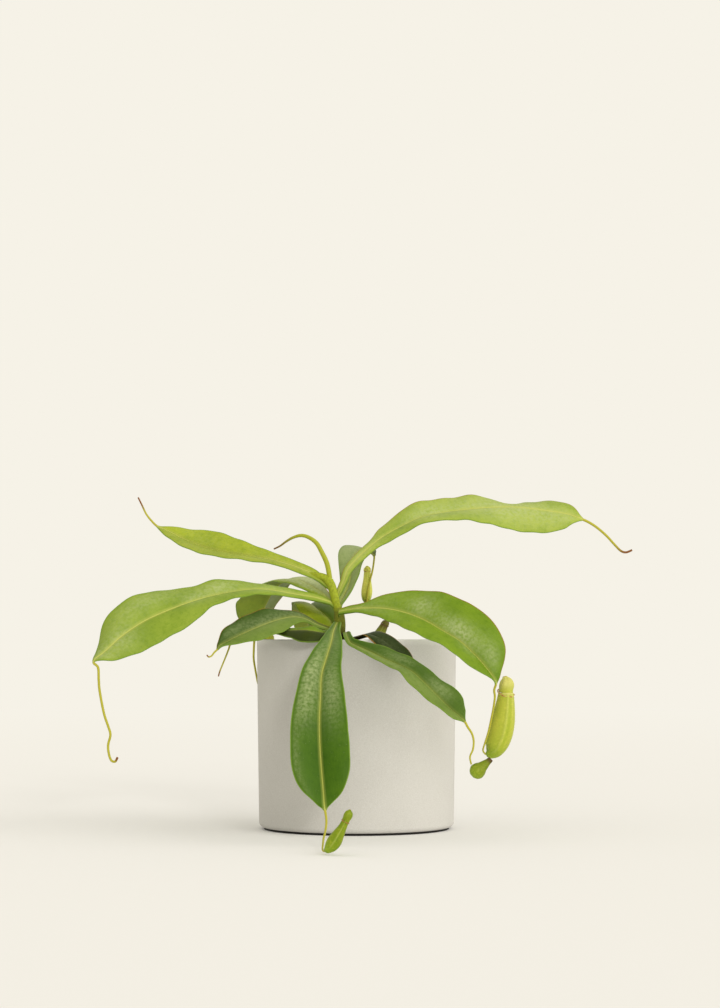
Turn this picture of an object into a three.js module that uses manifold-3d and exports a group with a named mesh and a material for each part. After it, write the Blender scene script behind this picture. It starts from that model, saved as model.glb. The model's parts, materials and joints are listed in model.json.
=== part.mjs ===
// A young tropical pitcher plant in a plain round pot, in millimetres, +Z up.
// The origin is the centre of the pot's base. -Y is the front of the plant.
import * as THREE from "three";
import { mergeVertices } from "three/addons/utils/BufferGeometryUtils.js";
import Module from "manifold-3d";

const wasm = await Module();
wasm.setup();

// ---------------------------------------------------------------- driving dimensions

const POT_HEIGHT = 123;
const POT_RIM_RADIUS = 65;
const POT_LOW_RADIUS = 63.4;
const POT_WALL = 5;
const POT_FLOOR = 8;
const POT_EDGE_ROUND = 3.4;
const FOOT_HEIGHT = 1.2;
const FOOT_INSET = 3.2;
const POT_LIP_ROUND = 0.4;
const POT_CORNER = 2;
const POT_SIDES = 60;
const POT_EDGE_STEPS = 5;

const GAP = 0.35;
const SOIL_TOP = 113;
const SOIL_MOUND = 2.2;
const STEM_HOLE_RADIUS = 3.9;
const STEM_HOLE_FLOOR = 88;
const STEM_HOLE_SIDES = 16;
const SOIL_STEPS = 4;

const STEM_SIDES = 12;
const SPEAR_SIDES = 8;
const PITCHER_SIDES = 14;
const TENDRIL_SIDES = 10;

const BLADE_COLUMNS = 5;
const BLADE_HALF_THICKNESS = 0.36;
const MARGIN_HALF_THICKNESS = 0.3;
const KEEL_DEPTH = 0.95;
const PETIOLE_EXTRA = 0.45;
const PETIOLE_SHARE = 0.22;
const BLADE_BULGE = 0.09;
const RINGS_PER_SPAN = 2;
const TENDRIL_BASE_RADIUS = 0.75;
const TENDRIL_TIP_RADIUS = 0.5;

// ---------------------------------------------------------------- finishes

function finish(red, green, blue, roughness) {
  const color = new THREE.Color().setRGB(red, green, blue, THREE.SRGBColorSpace);
  return new THREE.MeshStandardMaterial({ color, roughness, metalness: 0 });
}

const CERAMIC = finish(0.79, 0.765, 0.715, 0.85);
const SOIL = finish(0.2, 0.15, 0.1, 1.0);
const STEM = finish(0.3, 0.33, 0.12, 0.6);
const LEAF_LIME = finish(0.64, 0.73, 0.2, 0.45);
const LEAF_LIGHT = finish(0.58, 0.7, 0.3, 0.45);
const LEAF_GREEN = finish(0.45, 0.6, 0.2, 0.42);
const LEAF_DARK = finish(0.3, 0.42, 0.2, 0.4);
const LEAF_DEEP = finish(0.2, 0.27, 0.1, 0.4);
const PITCHER = finish(0.7, 0.73, 0.3, 0.45);
const PITCHER_OLIVE = finish(0.55, 0.6, 0.22, 0.45);

// ---------------------------------------------------------------- leaves
//
// A blade station is [x, y, z, left half width, left tilt, right half width, right tilt].
// Left and right are seen from above, looking from the stem to the tip. A tilt is the
// angle in degrees by which that half of the blade rises above the level cross line.
// A tendril station is [x, y, z]: the midrib runs on past the blade's tip as a tendril.

const LEAVES = {
  leaf_upper_left: {
    finish: LEAF_LIME,
    blade: [
      [-20.1, -22.6, 158.6, 2.2, -25, 2.2, 25],
      [-23.6, -22, 162.3, 3, -40, 3, 40],
      [-30.5, -20, 166.5, 4, -45, 4, 48],
      [-49.5, -14, 173.3, 5.5, -28, 5.5, 45],
      [-68.5, -7, 177, 9, -18, 9, 52],
      [-86, 0, 179.7, 13, -14, 13, 57],
      [-99.5, 6, 183.3, 14, -14, 14, 55],
      [-111.5, 11, 187.9, 11.5, -16, 11.5, 46],
      [-124.5, 16, 194.6, 6, -22, 6, 34],
      [-131.5, 19, 197.6, 1.3, -25, 1.3, 28],
    ],
    tendril: [[-136, 21, 201.7], [-139.5, 22, 206.2], [-142, 23, 211.2], [-145, 24, 217.2]],
  },
  leaf_long_left: {
    finish: LEAF_LIGHT,
    blade: [
      [-17, -25.1, 146.7, 2, -50, 2, 55],
      [-26, -27, 149.5, 3, -48, 3, 58],
      [-37, -29, 151.5, 4, -38, 4, 55],
      [-54, -33, 154.4, 6.5, -30, 6.5, 32],
      [-67, -37, 154.8, 9, -22, 9, 34],
      [-83.5, -43, 152.2, 12.5, -18, 12.5, 48],
      [-99, -50, 148.5, 14.5, -26, 14, 35],
      [-113.5, -58, 143.3, 19, -38, 18.5, 40],
      [-131.5, -67, 135.1, 19, -50, 20, 53],
      [-145.5, -75, 125.4, 17, -52, 17.5, 42],
      [-155, -81, 116.3, 11, -48, 8.5, 22],
      [-162, -86, 109.6, 1.3, -30, 1.3, 20],
    ],
    tendril: [
      [-159.4, -85.3, 105.8], [-159, -85, 98.2], [-158.5, -84, 91.2], [-156, -83, 77.7],
      [-153.5, -82, 69.7], [-152, -82, 64.2], [-153.5, -81, 57.8], [-153, -81, 52.3],
      [-151.5, -81, 48.3], [-149, -82, 47.7], [-147.5, -83, 50.2],
    ],
  },
  leaf_back_left: {
    finish: LEAF_GREEN,
    blade: [
      [-16.2, -20.3, 148, 2, -25, 2, 25],
      [-23.5, -12, 153.9, 4.5, -30, 4.5, 30],
      [-31, -2, 158.6, 8, -12, 8, 12],
      [-39, 10, 161.9, 11.5, -8, 11.5, 8],
      [-47.5, 22, 161.7, 14, -5, 14, 8],
      [-54.5, 33, 157.5, 20.5, -4, 15, 12],
      [-59.5, 42, 149.7, 25, -4, 16, 18],
      [-64, 48, 140.8, 22, -8, 13.5, 20],
      [-67.5, 52, 130.9, 11, -5, 9, 18],
      [-69, 54, 122.5, 1.3, -10, 1.3, 10],
    ],
    tendril: [
      [-69.5, 55, 115], [-69.5, 55, 109.5], [-68.5, 55, 103], [-67.5, 55, 97.5],
      [-66.5, 54, 93], [-64.5, 52, 89.9], [-61.5, 50.5, 89.4], [-59.2, 48.8, 92.3],
    ],
  },
  leaf_dark_left: {
    finish: LEAF_DARK,
    blade: [
      [-14.3, -25.65, 128.5, 1.8, -45, 1.8, 50],
      [-24.5, -31, 131.9, 2.6, -45, 2.6, 55],
      [-33.5, -37, 136.3, 4.5, -35, 4.5, 50],
      [-41.5, -42, 137.2, 7.5, -30, 7.5, 38],
      [-51, -49, 135, 12, -30, 12, 43],
      [-60.5, -56, 131.4, 13.5, -26, 13.5, 36],
      [-70, -62, 127.2, 12.5, -25, 12.5, 35],
      [-79, -67, 122.6, 9, -15, 9, 38],
      [-84.5, -70, 119.5, 3.5, -10, 3.5, 25],
      [-86.5, -71, 117, 1.2, -10, 1.2, 15],
    ],
    tendril: [[-88.5, -72, 115], [-90, -72.5, 113], [-91.8, -73, 112.2], [-93, -73.5, 113.4]],
    tendrilRadius: [0.6, 0.42],
  },
  leaf_back: {
    finish: LEAF_GREEN,
    blade: [
      [-13.85, -19.2, 129.6, 2.2, -5, 1.8, 20],
      [-16.5, -13, 134.4, 9.5, -22, 5, 12],
      [-22, -4, 140.1, 13, -8, 9, 10],
      [-26.5, 8, 143.9, 13.5, 2, 11.5, 12],
      [-30, 24, 146.2, 13, 5, 12.5, 12],
      [-31.5, 42, 145.7, 12, 0, 13, 10],
      [-32.5, 60, 142.1, 11.5, -5, 12.5, 5],
      [-33.5, 75, 135, 10, -5, 11, 5],
      [-33.5, 86, 125.2, 6.5, 0, 7, 5],
      [-33.5, 92, 117.9, 1.3, 0, 1.3, 0],
    ],
    tendril: [
      [-33, 94, 111.4], [-30.5, 96, 104], [-24, 97, 97], [-15.5, 97, 92.5],
      [-6.5, 95, 92.4], [0.5, 92, 95.9], [5.2, 86.7, 102.9],
    ],
  },
  leaf_low_left: {
    finish: LEAF_DEEP,
    blade: [
      [-13.6, -26.4, 123.5, 1.8, -20, 1.8, 25],
      [-16.5, -42, 126.2, 3.2, -12, 4, 25],
      [-19.5, -54, 126.9, 4, -10, 5, 25],
      [-24.5, -62.5, 128, 8, -45, 5.5, 35],
      [-31, -64.5, 129, 9.5, -55, 5, 30],
      [-38, -59, 129, 7, -45, 4.6, 16],
      [-45, -52, 128.8, 6, -30, 5.5, 14],
      [-54, -47.5, 128.8, 7.5, -18, 7.5, 22],
      [-63, -45, 127.6, 8, -15, 8, 28],
      [-72, -43.5, 124.2, 5.5, -20, 5.5, 33],
      [-79.5, -43, 120.2, 1.2, -25, 1.2, 25],
    ],
    tendril: [
      [-81, -43.5, 117.1], [-82.5, -44, 113.1], [-84.5, -44.5, 108.1], [-86.5, -45, 103.1],
      [-87.5, -45, 99.6],
    ],
    tendrilRadius: [0.6, 0.42],
  },
  leaf_front: {
    finish: LEAF_GREEN,
    blade: [
      [-12.2, -26.9, 133.3, 2.6, 10, 2.6, 10],
      [-13.5, -44, 130.1, 3.4, 10, 3.4, 5],
      [-14.5, -61, 127.2, 4.6, 10, 4.6, 5],
      [-15.5, -77, 121.4, 7, 12, 7, 12],
      [-18, -92, 112.5, 10, 15, 10, 14],
      [-21, -105, 101.2, 12.8, 15, 12.8, 12],
      [-21.5, -116, 88.4, 15.3, 15, 15.3, 10],
      [-22, -125.5, 73.7, 17.4, 12, 17.4, 15],
      [-21.5, -132.5, 58, 18.2, 12, 18.2, 15],
      [-20.5, -136.5, 44.9, 17.6, 12, 17.6, 14],
      [-19.5, -139, 33.4, 12.8, 8, 12.8, 18],
      [-19, -140.5, 26.3, 5.5, 0, 5.5, 20],
      [-18.5, -141, 22.3, 1.3, 0, 1.3, 10],
    ],
    tendril: [
      [-17.7, -144.5, 17.8], [-17.6, -149, 14.1], [-18.2, -156, 9.9], [-18.9, -164, 7.3],
      [-19.2, -173, 4.8], [-19.3, -182, 3], [-18.9, -187.6, 2.1], [-17.8, -190.85, 2.1],
    ],
  },
  leaf_low_right: {
    finish: LEAF_DARK,
    blade: [
      [-8.05, -26.75, 125.7, 1.8, 20, 1.8, -15],
      [-7, -45, 126.6, 2.2, 25, 1.8, 0],
      [-6.2, -60, 126.8, 2.6, 25, 2.2, 0],
      [-5.6, -67.5, 124.6, 3.2, 30, 2.4, -10],
      [-3.6, -71.5, 120.9, 4.2, 40, 2.4, -20],
      [1, -74, 118.6, 5.2, 40, 2.6, -30],
      [8, -78, 115.6, 7.5, 36, 4, -20],
      [17, -83, 111.2, 9.5, 32, 6, -10],
      [27, -88, 106.8, 10.5, 26, 9.5, 0],
      [35, -92, 102.6, 11, 18, 12, 0],
      [42.5, -95.5, 95.6, 12, 14, 12.5, 0],
      [50.5, -98.5, 87.5, 13.5, 20, 12, 5],
      [57.5, -101, 80.6, 12.5, 24, 10, 8],
      [62.5, -102.5, 76.4, 7.5, 15, 7, 5],
      [66, -103.5, 73.2, 1.5, 0, 1.5, 0],
    ],
    tendril: [
      [68, -104, 69.7], [70.5, -104.5, 65.7], [71.5, -105, 61.2], [71, -105.5, 56.2],
      [69.2, -105.9, 51.7], [70, -106, 47.1],
    ],
  },
  leaf_dark_right: {
    finish: LEAF_DEEP,
    blade: [
      [-5.8, -24.4, 122.5, 1.6, 30, 1.6, -10],
      [3, -42, 124.4, 2.8, 30, 2.8, 0],
      [10, -59, 125.6, 5, 25, 4, 0],
      [16.5, -67, 123, 7, 15, 6, -35],
      [23, -71.5, 117.5, 8.5, 8, 7, -60],
      [29.5, -73.5, 111.4, 7.5, 5, 6.5, -65],
      [34.5, -75, 105.4, 4.2, 0, 4, -60],
      [37.5, -76, 100.4, 1.2, 0, 1.2, -40],
    ],
    tendril: [[39, -76.5, 96.9], [40, -77, 92.9]],
    tendrilRadius: [0.6, 0.45],
  },
  leaf_right: {
    finish: LEAF_GREEN,
    blade: [
      [-11, -28, 140.5, 2.2, 60, 2.2, -45],
      [-4, -31, 141.9, 3.2, 62, 3.2, -40],
      [3.5, -35, 142.9, 4.2, 58, 4.2, -45],
      [18, -41, 142.7, 11.5, 58, 9.5, -38],
      [30.5, -46.5, 140.1, 17.5, 56, 14, -32],
      [42.5, -53, 135.4, 22.5, 60, 17.5, -25],
      [54.5, -59, 128.3, 24.5, 62, 18.5, -18],
      [65, -63.5, 121.7, 24.5, 60, 17.5, -15],
      [75.5, -67.5, 111.6, 21.5, 58, 15, -14],
      [81.5, -69.5, 104.5, 15, 52, 9.5, -12],
      [85.5, -70.5, 99, 6.5, 35, 3, -8],
      [87, -71, 95.5, 1.5, 10, 1.5, -5],
    ],
    tendril: [
      [86, -69.5, 91.5], [86.5, -68, 87.1], [85.5, -67.5, 79.6], [84, -67, 72.1],
      [82.4, -67, 65.1], [80.4, -66.5, 58.6], [79.2, -64.8, 53.8], [80.9, -61.8, 51.2],
    ],
  },
  leaf_upright_back: {
    finish: LEAF_DARK,
    blade: [
      [-10.9, -19.7, 145.7, 2.2, 30, 2.2, 15],
      [-6.5, -12, 154.4, 4.5, 10, 4.5, 15],
      [-4, -3, 163.1, 7, 5, 7, 22],
      [-2.5, 7, 173.3, 9.5, 5, 9.5, 20],
      [-0.5, 18, 179.1, 11.5, 18, 11.5, 14],
      [2.5, 29, 181.7, 10.8, 22, 10.5, 8],
      [6.5, 38, 181.9, 8, 25, 7.5, 0],
      [10, 44, 181, 4, 25, 3.5, 0],
      [11.8, 47, 179.3, 1.2, 20, 1.2, 0],
    ],
    tendril: [
      [11.6, 45, 175.2], [10.7, 41.6, 169.2], [9.2, 39.8, 163.1], [8, 38.8, 158.1], [7.3, 38.3, 152.6],
      [6.9, 39, 148.1], [6.7, 41, 145.8], [6.6, 43.6, 146.4],
    ],
    tendrilRadius: [0.65, 0.5],
  },
  leaf_long_right: {
    finish: LEAF_LIGHT,
    blade: [
      [-11.6, -20.8, 152.5, 2, 55, 2, -55],
      [-8.2, -20, 160.2, 2.6, 45, 2.6, -48],
      [-5, -18.5, 168.7, 3.4, 38, 3.4, -52],
      [3, -15.5, 177.8, 4.4, 30, 4.4, -46],
      [11.5, -12.5, 185.4, 5.5, 28, 5.5, -40],
      [19, -10, 190.9, 8, 34, 8, -35],
      [30, -6, 197, 10.5, 43, 10, -24],
      [41.5, -2, 202.1, 13, 53, 13, -16],
      [53.5, 2, 205.2, 14, 46, 15, -20],
      [65.5, 6, 207.3, 14.5, 39, 16.5, -25],
      [82.5, 11, 209.4, 14.5, 40, 18, -38],
      [101.5, 15, 210.5, 15, 8, 18.5, -60],
      [115, 17, 209.6, 15, 18, 18.5, -63],
      [126.5, 18.5, 208.1, 14, 32, 17, -64],
      [139, 20, 206.2, 10.5, 48, 12, -60],
      [145.5, 21, 204.2, 6, 54, 5, -58],
      [149.5, 22, 202.7, 1.8, 54, 1.8, -55],
    ],
    tendril: [
      [154, 22.5, 200.7], [159.5, 23, 197.2], [166, 24, 191.7], [171.5, 25, 185.8],
      [175.5, 25, 181.8], [179, 25, 180.8], [183, 25, 182.3],
    ],
    tendrilRadius: [0.9, 0.7],
  },
};

// ---------------------------------------------------------------- round pieces
//
// A station is [x, y, z, radius].

const STEM_ROUTE = [
  [-10.6, -23, 89, 3.2],
  [-10.6, -23, 104, 3.3],
  [-10.6, -23, 114.6, 3.4],
  [-10.6, -23, 127.6, 3.5],
  [-11.2, -23, 139.6, 3.3],
  [-13.6, -23, 147.5, 2.5],
  [-15.6, -23, 155.5, 2.2],
  [-16.9, -23, 161.8, 1.9],
];

const SPEAR_ROUTE = [
  [-17.1, -23, 162.2, 1.6],
  [-18.9, -23, 171.6, 1.6],
  [-22.2, -22, 179, 1.5],
  [-25.8, -21, 185.2, 1.4],
  [-30.8, -19.5, 188.9, 1.25],
  [-35.8, -18, 190.2, 1.1],
  [-40.8, -16.5, 189, 0.9],
  [-45.1, -15, 186.7, 0.75],
  [-49.5, -13.5, 183.6, 0.6],
  [-53.5, -12, 181.7, 0.5],
];

const PITCHERS = {
  pitcher_right: {
    finish: PITCHER,
    route: [
      [81.6, -61, 51.1, 1.4],
      [83.6, -60.4, 51.7, 3.8],
      [86, -60, 54, 6],
      [88.2, -60, 58.2, 7.4],
      [90.2, -60, 64, 7.9],
      [91.8, -60, 71, 7.6],
      [92.9, -60, 77.8, 6.7],
      [93.6, -60, 84.2, 5.7],
      [93.8, -60, 88.4, 5],
      [93.8, -60, 89.5, 5.4],
      [93.8, -60, 90.4, 4.3],
      [94, -60, 91.8, 4.3],
      [94.1, -60, 94.4, 4.7],
      [93.8, -60, 97.2, 3.8],
      [93.4, -60, 99.2, 1.8],
    ],
  },
  pitcher_upright_back: {
    finish: PITCHER_OLIVE,
    route: [
      [6.6, 44.4, 147.4, 1.2],
      [6.6, 44.2, 149.2, 2.6],
      [6.7, 44, 152.2, 3.5],
      [6.9, 43.8, 155.8, 3.7],
      [7, 43.6, 159.6, 3.2],
      [7.1, 43.5, 163.4, 2.6],
      [7.2, 43.4, 167.2, 2.35],
      [7.2, 43.4, 169.2, 2.6],
      [7.1, 43.4, 170.6, 2.3],
      [7, 43.4, 171.8, 1.1],
    ],
  },
  pitcher_back_left: {
    finish: PITCHER,
    route: [
      [-59, 48.6, 92.9, 1.3],
      [-58.6, 48.4, 94.9, 3],
      [-58.4, 48, 98.7, 4.6],
      [-58.4, 47.6, 103.9, 5.1],
      [-58.6, 47.2, 109.7, 4.5],
      [-58.9, 47, 115.5, 3.8],
      [-59.1, 47, 120.9, 3.6],
      [-59.2, 47, 123.5, 3.9],
      [-59.1, 47, 125.3, 3.4],
      [-59, 47, 126.5, 1.6],
    ],
  },
  pitcher_back: {
    finish: PITCHER_OLIVE,
    route: [
      [5.4, 86.4, 103.2, 1.4],
      [6.2, 85, 105.2, 3],
      [7.6, 83.2, 109.2, 4.6],
      [10.4, 81.6, 115.3, 5.2],
      [13.4, 80.6, 121.7, 4.8],
      [16.2, 80, 127.3, 3.7],
      [18.4, 79.8, 131.5, 2.9],
      [19.4, 79.8, 133.3, 3],
      [20.2, 79.8, 134.9, 2.4],
      [20.7, 79.8, 135.9, 1.1],
    ],
  },
  pitcher_bud_right: {
    finish: PITCHER_OLIVE,
    route: [
      [70.3, -106, 40.2, 1.5],
      [71.2, -106, 41, 3.5],
      [72.5, -106, 42.1, 4.6],
      [73.6, -106, 43.1, 4.9],
      [75.3, -106, 44.6, 4.4],
      [76.9, -106, 46, 3.3],
      [78.6, -106, 47.5, 2.3],
      [80.1, -106, 48.8, 1.7],
      [81.3, -106, 49.8, 1.4],
      [82, -106, 50.5, 0.8],
    ],
  },
  pitcher_front: {
    finish: PITCHER,
    route: [
      [-17.3, -191.6, 2.3, 1.5],
      [-15.8, -192.4, 3.6, 2.8],
      [-14, -192.8, 5.6, 3.9],
      [-12, -193, 8.5, 4.2],
      [-9.8, -193, 12.3, 3.4],
      [-7.9, -193, 15.6, 2.6],
      [-6.5, -193, 18.4, 2.2],
      [-6.1, -193, 19.4, 2.6],
      [-5.5, -193, 20.6, 2.3],
      [-4.7, -193, 22.5, 2.6],
      [-3.9, -193, 24.5, 2.1],
      [-3.5, -193, 25.6, 0.9],
    ],
  },
};

// ---------------------------------------------------------------- small vector helpers

const vec = (x, y, z) => new THREE.Vector3(x, y, z);
const radians = (degrees) => THREE.MathUtils.degToRad(degrees);

function smooth(low, high, value) {
  return THREE.MathUtils.smoothstep(value, low, high);
}

// A smooth curve through rows of numbers, column by column.
function rowAt(rows, place) {
  const last = rows.length - 1;
  const span = Math.min(Math.floor(place), last - 1);
  const t = place - span;
  const before = rows[Math.max(span - 1, 0)];
  const from = rows[span];
  const to = rows[span + 1];
  const after = rows[Math.min(span + 2, last)];
  return from.map((value, k) => {
    const slope = (to[k] - before[k]) / 2;
    const nextSlope = (after[k] - value) / 2;
    const rise = to[k] - value;
    const square = 3 * rise - 2 * slope - nextSlope;
    const cube = slope + nextSlope - 2 * rise;
    return value + slope * t + square * t * t + cube * t * t * t;
  });
}

function meshFrom(rings, columns) {
  const positions = rings.flat().flatMap((p) => [p.x, p.y, p.z]);
  const size = rings[0].length;
  const faces = [];
  const corner = (ring, place) => ring * size + (place % size);
  for (let ring = 0; ring + 1 < rings.length; ring += 1) {
    for (let place = 0; place < size; place += 1) {
      const a = corner(ring, place);
      const b = corner(ring, place + 1);
      const c = corner(ring + 1, place + 1);
      const d = corner(ring + 1, place);
      // The under face is split along the same diagonal as the upper face above it.
      if (columns && place >= columns) {
        faces.push([a, b, d], [b, c, d]);
      } else {
        faces.push([a, b, c], [a, c, d]);
      }
    }
  }
  const end = rings.length - 1;
  if (columns) {
    for (let column = 0; column + 1 < columns; column += 1) {
      const under = size - 1 - column;
      const start = [column, column + 1, under - 1, under];
      const stop = start.map((place) => corner(end, place));
      faces.push([start[0], start[2], start[1]], [start[0], start[3], start[2]]);
      faces.push([stop[0], stop[1], stop[2]], [stop[0], stop[2], stop[3]]);
    }
  } else {
    for (let place = 1; place + 1 < size; place += 1) {
      faces.push([0, place + 1, place]);
      faces.push([corner(end, 0), corner(end, place), corner(end, place + 1)]);
    }
  }
  const geometry = new THREE.BufferGeometry();
  geometry.setAttribute("position", new THREE.Float32BufferAttribute(positions, 3));
  geometry.setIndex(faces.flat());
  geometry.computeVertexNormals();
  return geometry;
}

// ---------------------------------------------------------------- leaf with its tendril

// The cross line and upper direction of the blade at a tangent, for a leaf's own heading.
function bladeFrame(tangent, cross) {
  const side = cross.clone().addScaledVector(tangent, -cross.dot(tangent)).normalize();
  return { side, up: tangent.clone().cross(side) };
}

function bladeRing(row, tangent, cross, along) {
  const [x, y, z, leftWidth, leftTilt, rightWidth, rightTilt] = row;
  const { side, up } = bladeFrame(tangent, cross);
  const centre = vec(x, y, z);
  const stalk = PETIOLE_EXTRA * (1 - smooth(0, PETIOLE_SHARE, along));
  const halves = [
    { sign: 1, width: leftWidth, tilt: radians(leftTilt) },
    { sign: -1, width: rightWidth, tilt: radians(rightTilt) },
  ].map(({ sign, width, tilt }) => ({
    width,
    out: side.clone().multiplyScalar(sign * Math.cos(tilt)).addScaledVector(up, Math.sin(tilt)),
    over: side.clone().multiplyScalar(-sign * Math.sin(tilt)).addScaledVector(up, Math.cos(tilt)),
  }));
  const middle = halves[0].over.clone().add(halves[1].over).normalize();
  const place = (half, share, lift) =>
    centre
      .clone()
      .addScaledVector(half.out, half.width * share)
      .addScaledVector(half.over, 4 * BLADE_BULGE * half.width * share * (1 - share) + lift);
  const thin = BLADE_HALF_THICKNESS + stalk;
  const edge = MARGIN_HALF_THICKNESS + stalk;
  const [left, right] = halves;
  const top = [
    place(left, 1, edge),
    place(left, 0.5, thin),
    centre.clone().addScaledVector(middle, thin),
    place(right, 0.5, thin),
    place(right, 1, edge),
  ];
  const under = [
    place(right, 1, -edge),
    place(right, 0.5, -thin),
    centre.clone().addScaledVector(middle, -KEEL_DEPTH - stalk),
    place(left, 0.5, -thin),
    place(left, 1, -edge),
  ];
  const crossLine = left.out.clone().sub(right.out).normalize();
  return { points: [...top, ...under], crossLine };
}

function roundRing(centre, tangent, cross, radius, sides, turn) {
  const { side, up } = bladeFrame(tangent, cross);
  return Array.from({ length: sides }, (_, place) => {
    const angle = ((place + turn) / sides) * 2 * Math.PI;
    return centre
      .clone()
      .addScaledVector(side, radius * Math.cos(angle))
      .addScaledVector(up, radius * Math.sin(angle));
  });
}

function tangentAt(route, place) {
  const reach = 0.05;
  const last = route.length - 1;
  const ahead = rowAt(route, Math.min(place + reach, last));
  const behind = rowAt(route, Math.max(place - reach, 0));
  return vec(ahead[0] - behind[0], ahead[1] - behind[1], ahead[2] - behind[2]).normalize();
}

function leafGeometry({ blade, tendril, tendrilRadius }) {
  const [baseRadius, tipRadius] = tendrilRadius ?? [TENDRIL_BASE_RADIUS, TENDRIL_TIP_RADIUS];
  const root = blade[0];
  const tip = blade.at(-1);
  const heading = vec(tip[0] - root[0], tip[1] - root[1], 0).normalize();
  const cross = vec(-heading.y, heading.x, 0);
  const route = [...blade.map((row) => row.slice(0, 3)), ...tendril];
  const bladeEnd = blade.length - 1;
  const rings = [];
  let line = cross;
  for (let step = 0; step <= bladeEnd * RINGS_PER_SPAN; step += 1) {
    const place = step / RINGS_PER_SPAN;
    const row = rowAt(blade, place);
    const spot = rowAt(route, place);
    const ring = bladeRing([...spot, ...row.slice(3)], tangentAt(route, place), cross, place / bladeEnd);
    rings.push(ring.points);
    line = ring.crossLine;
  }
  const tendrilSteps = tendril.length * RINGS_PER_SPAN;
  for (let step = 1; step <= tendrilSteps; step += 1) {
    const place = bladeEnd + step / RINGS_PER_SPAN;
    const tangent = tangentAt(route, place);
    const radius = THREE.MathUtils.lerp(baseRadius, tipRadius, step / tendrilSteps);
    rings.push(roundRing(vec(...rowAt(route, place)), tangent, line, radius, TENDRIL_SIDES, 0.5));
    line = bladeFrame(tangent, line).side;
  }
  return meshFrom(rings, BLADE_COLUMNS);
}

// ---------------------------------------------------------------- round sweeps

function sweepGeometry(route, sides) {
  const rings = [];
  let line = vec(0, 1, 0);
  route.forEach(([x, y, z, radius], place) => {
    const tangent = tangentAt(route, place);
    rings.push(roundRing(vec(x, y, z), tangent, line, radius, sides, 0));
    line = bladeFrame(tangent, line).side;
  });
  return meshFrom(rings, 0);
}

// ---------------------------------------------------------------- pot and soil

function potGeometry() {
  const footRadius = POT_LOW_RADIUS - FOOT_INSET;
  const roundCentre = [POT_LOW_RADIUS - POT_EDGE_ROUND, FOOT_HEIGHT + POT_EDGE_ROUND];
  const innerTop = POT_RIM_RADIUS - POT_WALL;
  const innerLow = POT_LOW_RADIUS - POT_WALL;
  const outline = [[0, 0], [footRadius, 0], [footRadius, FOOT_HEIGHT]];
  for (let step = 0; step <= POT_EDGE_STEPS; step += 1) {
    const angle = radians(-90 + (90 * step) / POT_EDGE_STEPS);
    outline.push([
      roundCentre[0] + POT_EDGE_ROUND * Math.cos(angle),
      roundCentre[1] + POT_EDGE_ROUND * Math.sin(angle),
    ]);
  }
  outline.push([POT_RIM_RADIUS, POT_HEIGHT - POT_LIP_ROUND]);
  outline.push([POT_RIM_RADIUS - POT_LIP_ROUND, POT_HEIGHT]);
  outline.push([innerTop + POT_LIP_ROUND, POT_HEIGHT]);
  outline.push([innerTop, POT_HEIGHT - POT_LIP_ROUND]);
  outline.push([innerLow, POT_FLOOR + POT_CORNER]);
  outline.push([innerLow - POT_CORNER, POT_FLOOR], [0, POT_FLOOR]);
  return lathe(outline);
}

function lathe(outline) {
  const points = outline.map(([radius, height]) => new THREE.Vector2(radius, height));
  const geometry = new THREE.LatheGeometry(points, POT_SIDES);
  geometry.rotateX(Math.PI / 2);
  geometry.deleteAttribute("normal");
  geometry.deleteAttribute("uv");
  return mergeVertices(geometry, 0.001);
}

function toSolid(geometry) {
  const vertProperties = new Float32Array(geometry.attributes.position.array);
  const triVerts = new Uint32Array(geometry.index.array);
  return new wasm.Manifold(new wasm.Mesh({ numProp: 3, vertProperties, triVerts }));
}

function fromSolid(solid) {
  const { vertProperties, triVerts } = solid.getMesh();
  const geometry = new THREE.BufferGeometry();
  geometry.setAttribute("position", new THREE.Float32BufferAttribute(vertProperties, 3));
  geometry.setIndex(Array.from(triVerts));
  return geometry;
}

function soilGeometry() {
  const wallAt = (height) => {
    const share = (height - POT_FLOOR) / (POT_HEIGHT - POT_FLOOR);
    return THREE.MathUtils.lerp(POT_LOW_RADIUS, POT_RIM_RADIUS, share) - POT_WALL - GAP;
  };
  const bottom = POT_FLOOR + GAP;
  const edge = wallAt(SOIL_TOP);
  const outline = [[0, bottom], [wallAt(POT_FLOOR) - POT_CORNER, bottom]];
  outline.push([wallAt(bottom + POT_CORNER), bottom + POT_CORNER], [edge, SOIL_TOP]);
  for (let step = 1; step <= SOIL_STEPS; step += 1) {
    const share = step / SOIL_STEPS;
    const height = SOIL_TOP + SOIL_MOUND * Math.sin((share * Math.PI) / 2);
    outline.push([(1 - share) * edge, height]);
  }
  const [stemX, stemY] = STEM_ROUTE[0];
  const depth = SOIL_TOP + 2 * SOIL_MOUND - STEM_HOLE_FLOOR;
  const drill = new THREE.CylinderGeometry(
    STEM_HOLE_RADIUS,
    STEM_HOLE_RADIUS,
    depth,
    STEM_HOLE_SIDES,
  );
  drill.rotateX(Math.PI / 2);
  drill.translate(stemX, stemY, STEM_HOLE_FLOOR + depth / 2);
  drill.deleteAttribute("normal");
  drill.deleteAttribute("uv");
  return fromSolid(toSolid(lathe(outline)).subtract(toSolid(mergeVertices(drill, 0.001))));
}

// ---------------------------------------------------------------- the plant

const plant = new THREE.Group();

function addPiece(name, geometry, material) {
  const mesh = new THREE.Mesh(geometry, material);
  mesh.name = name;
  plant.add(mesh);
}

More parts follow.
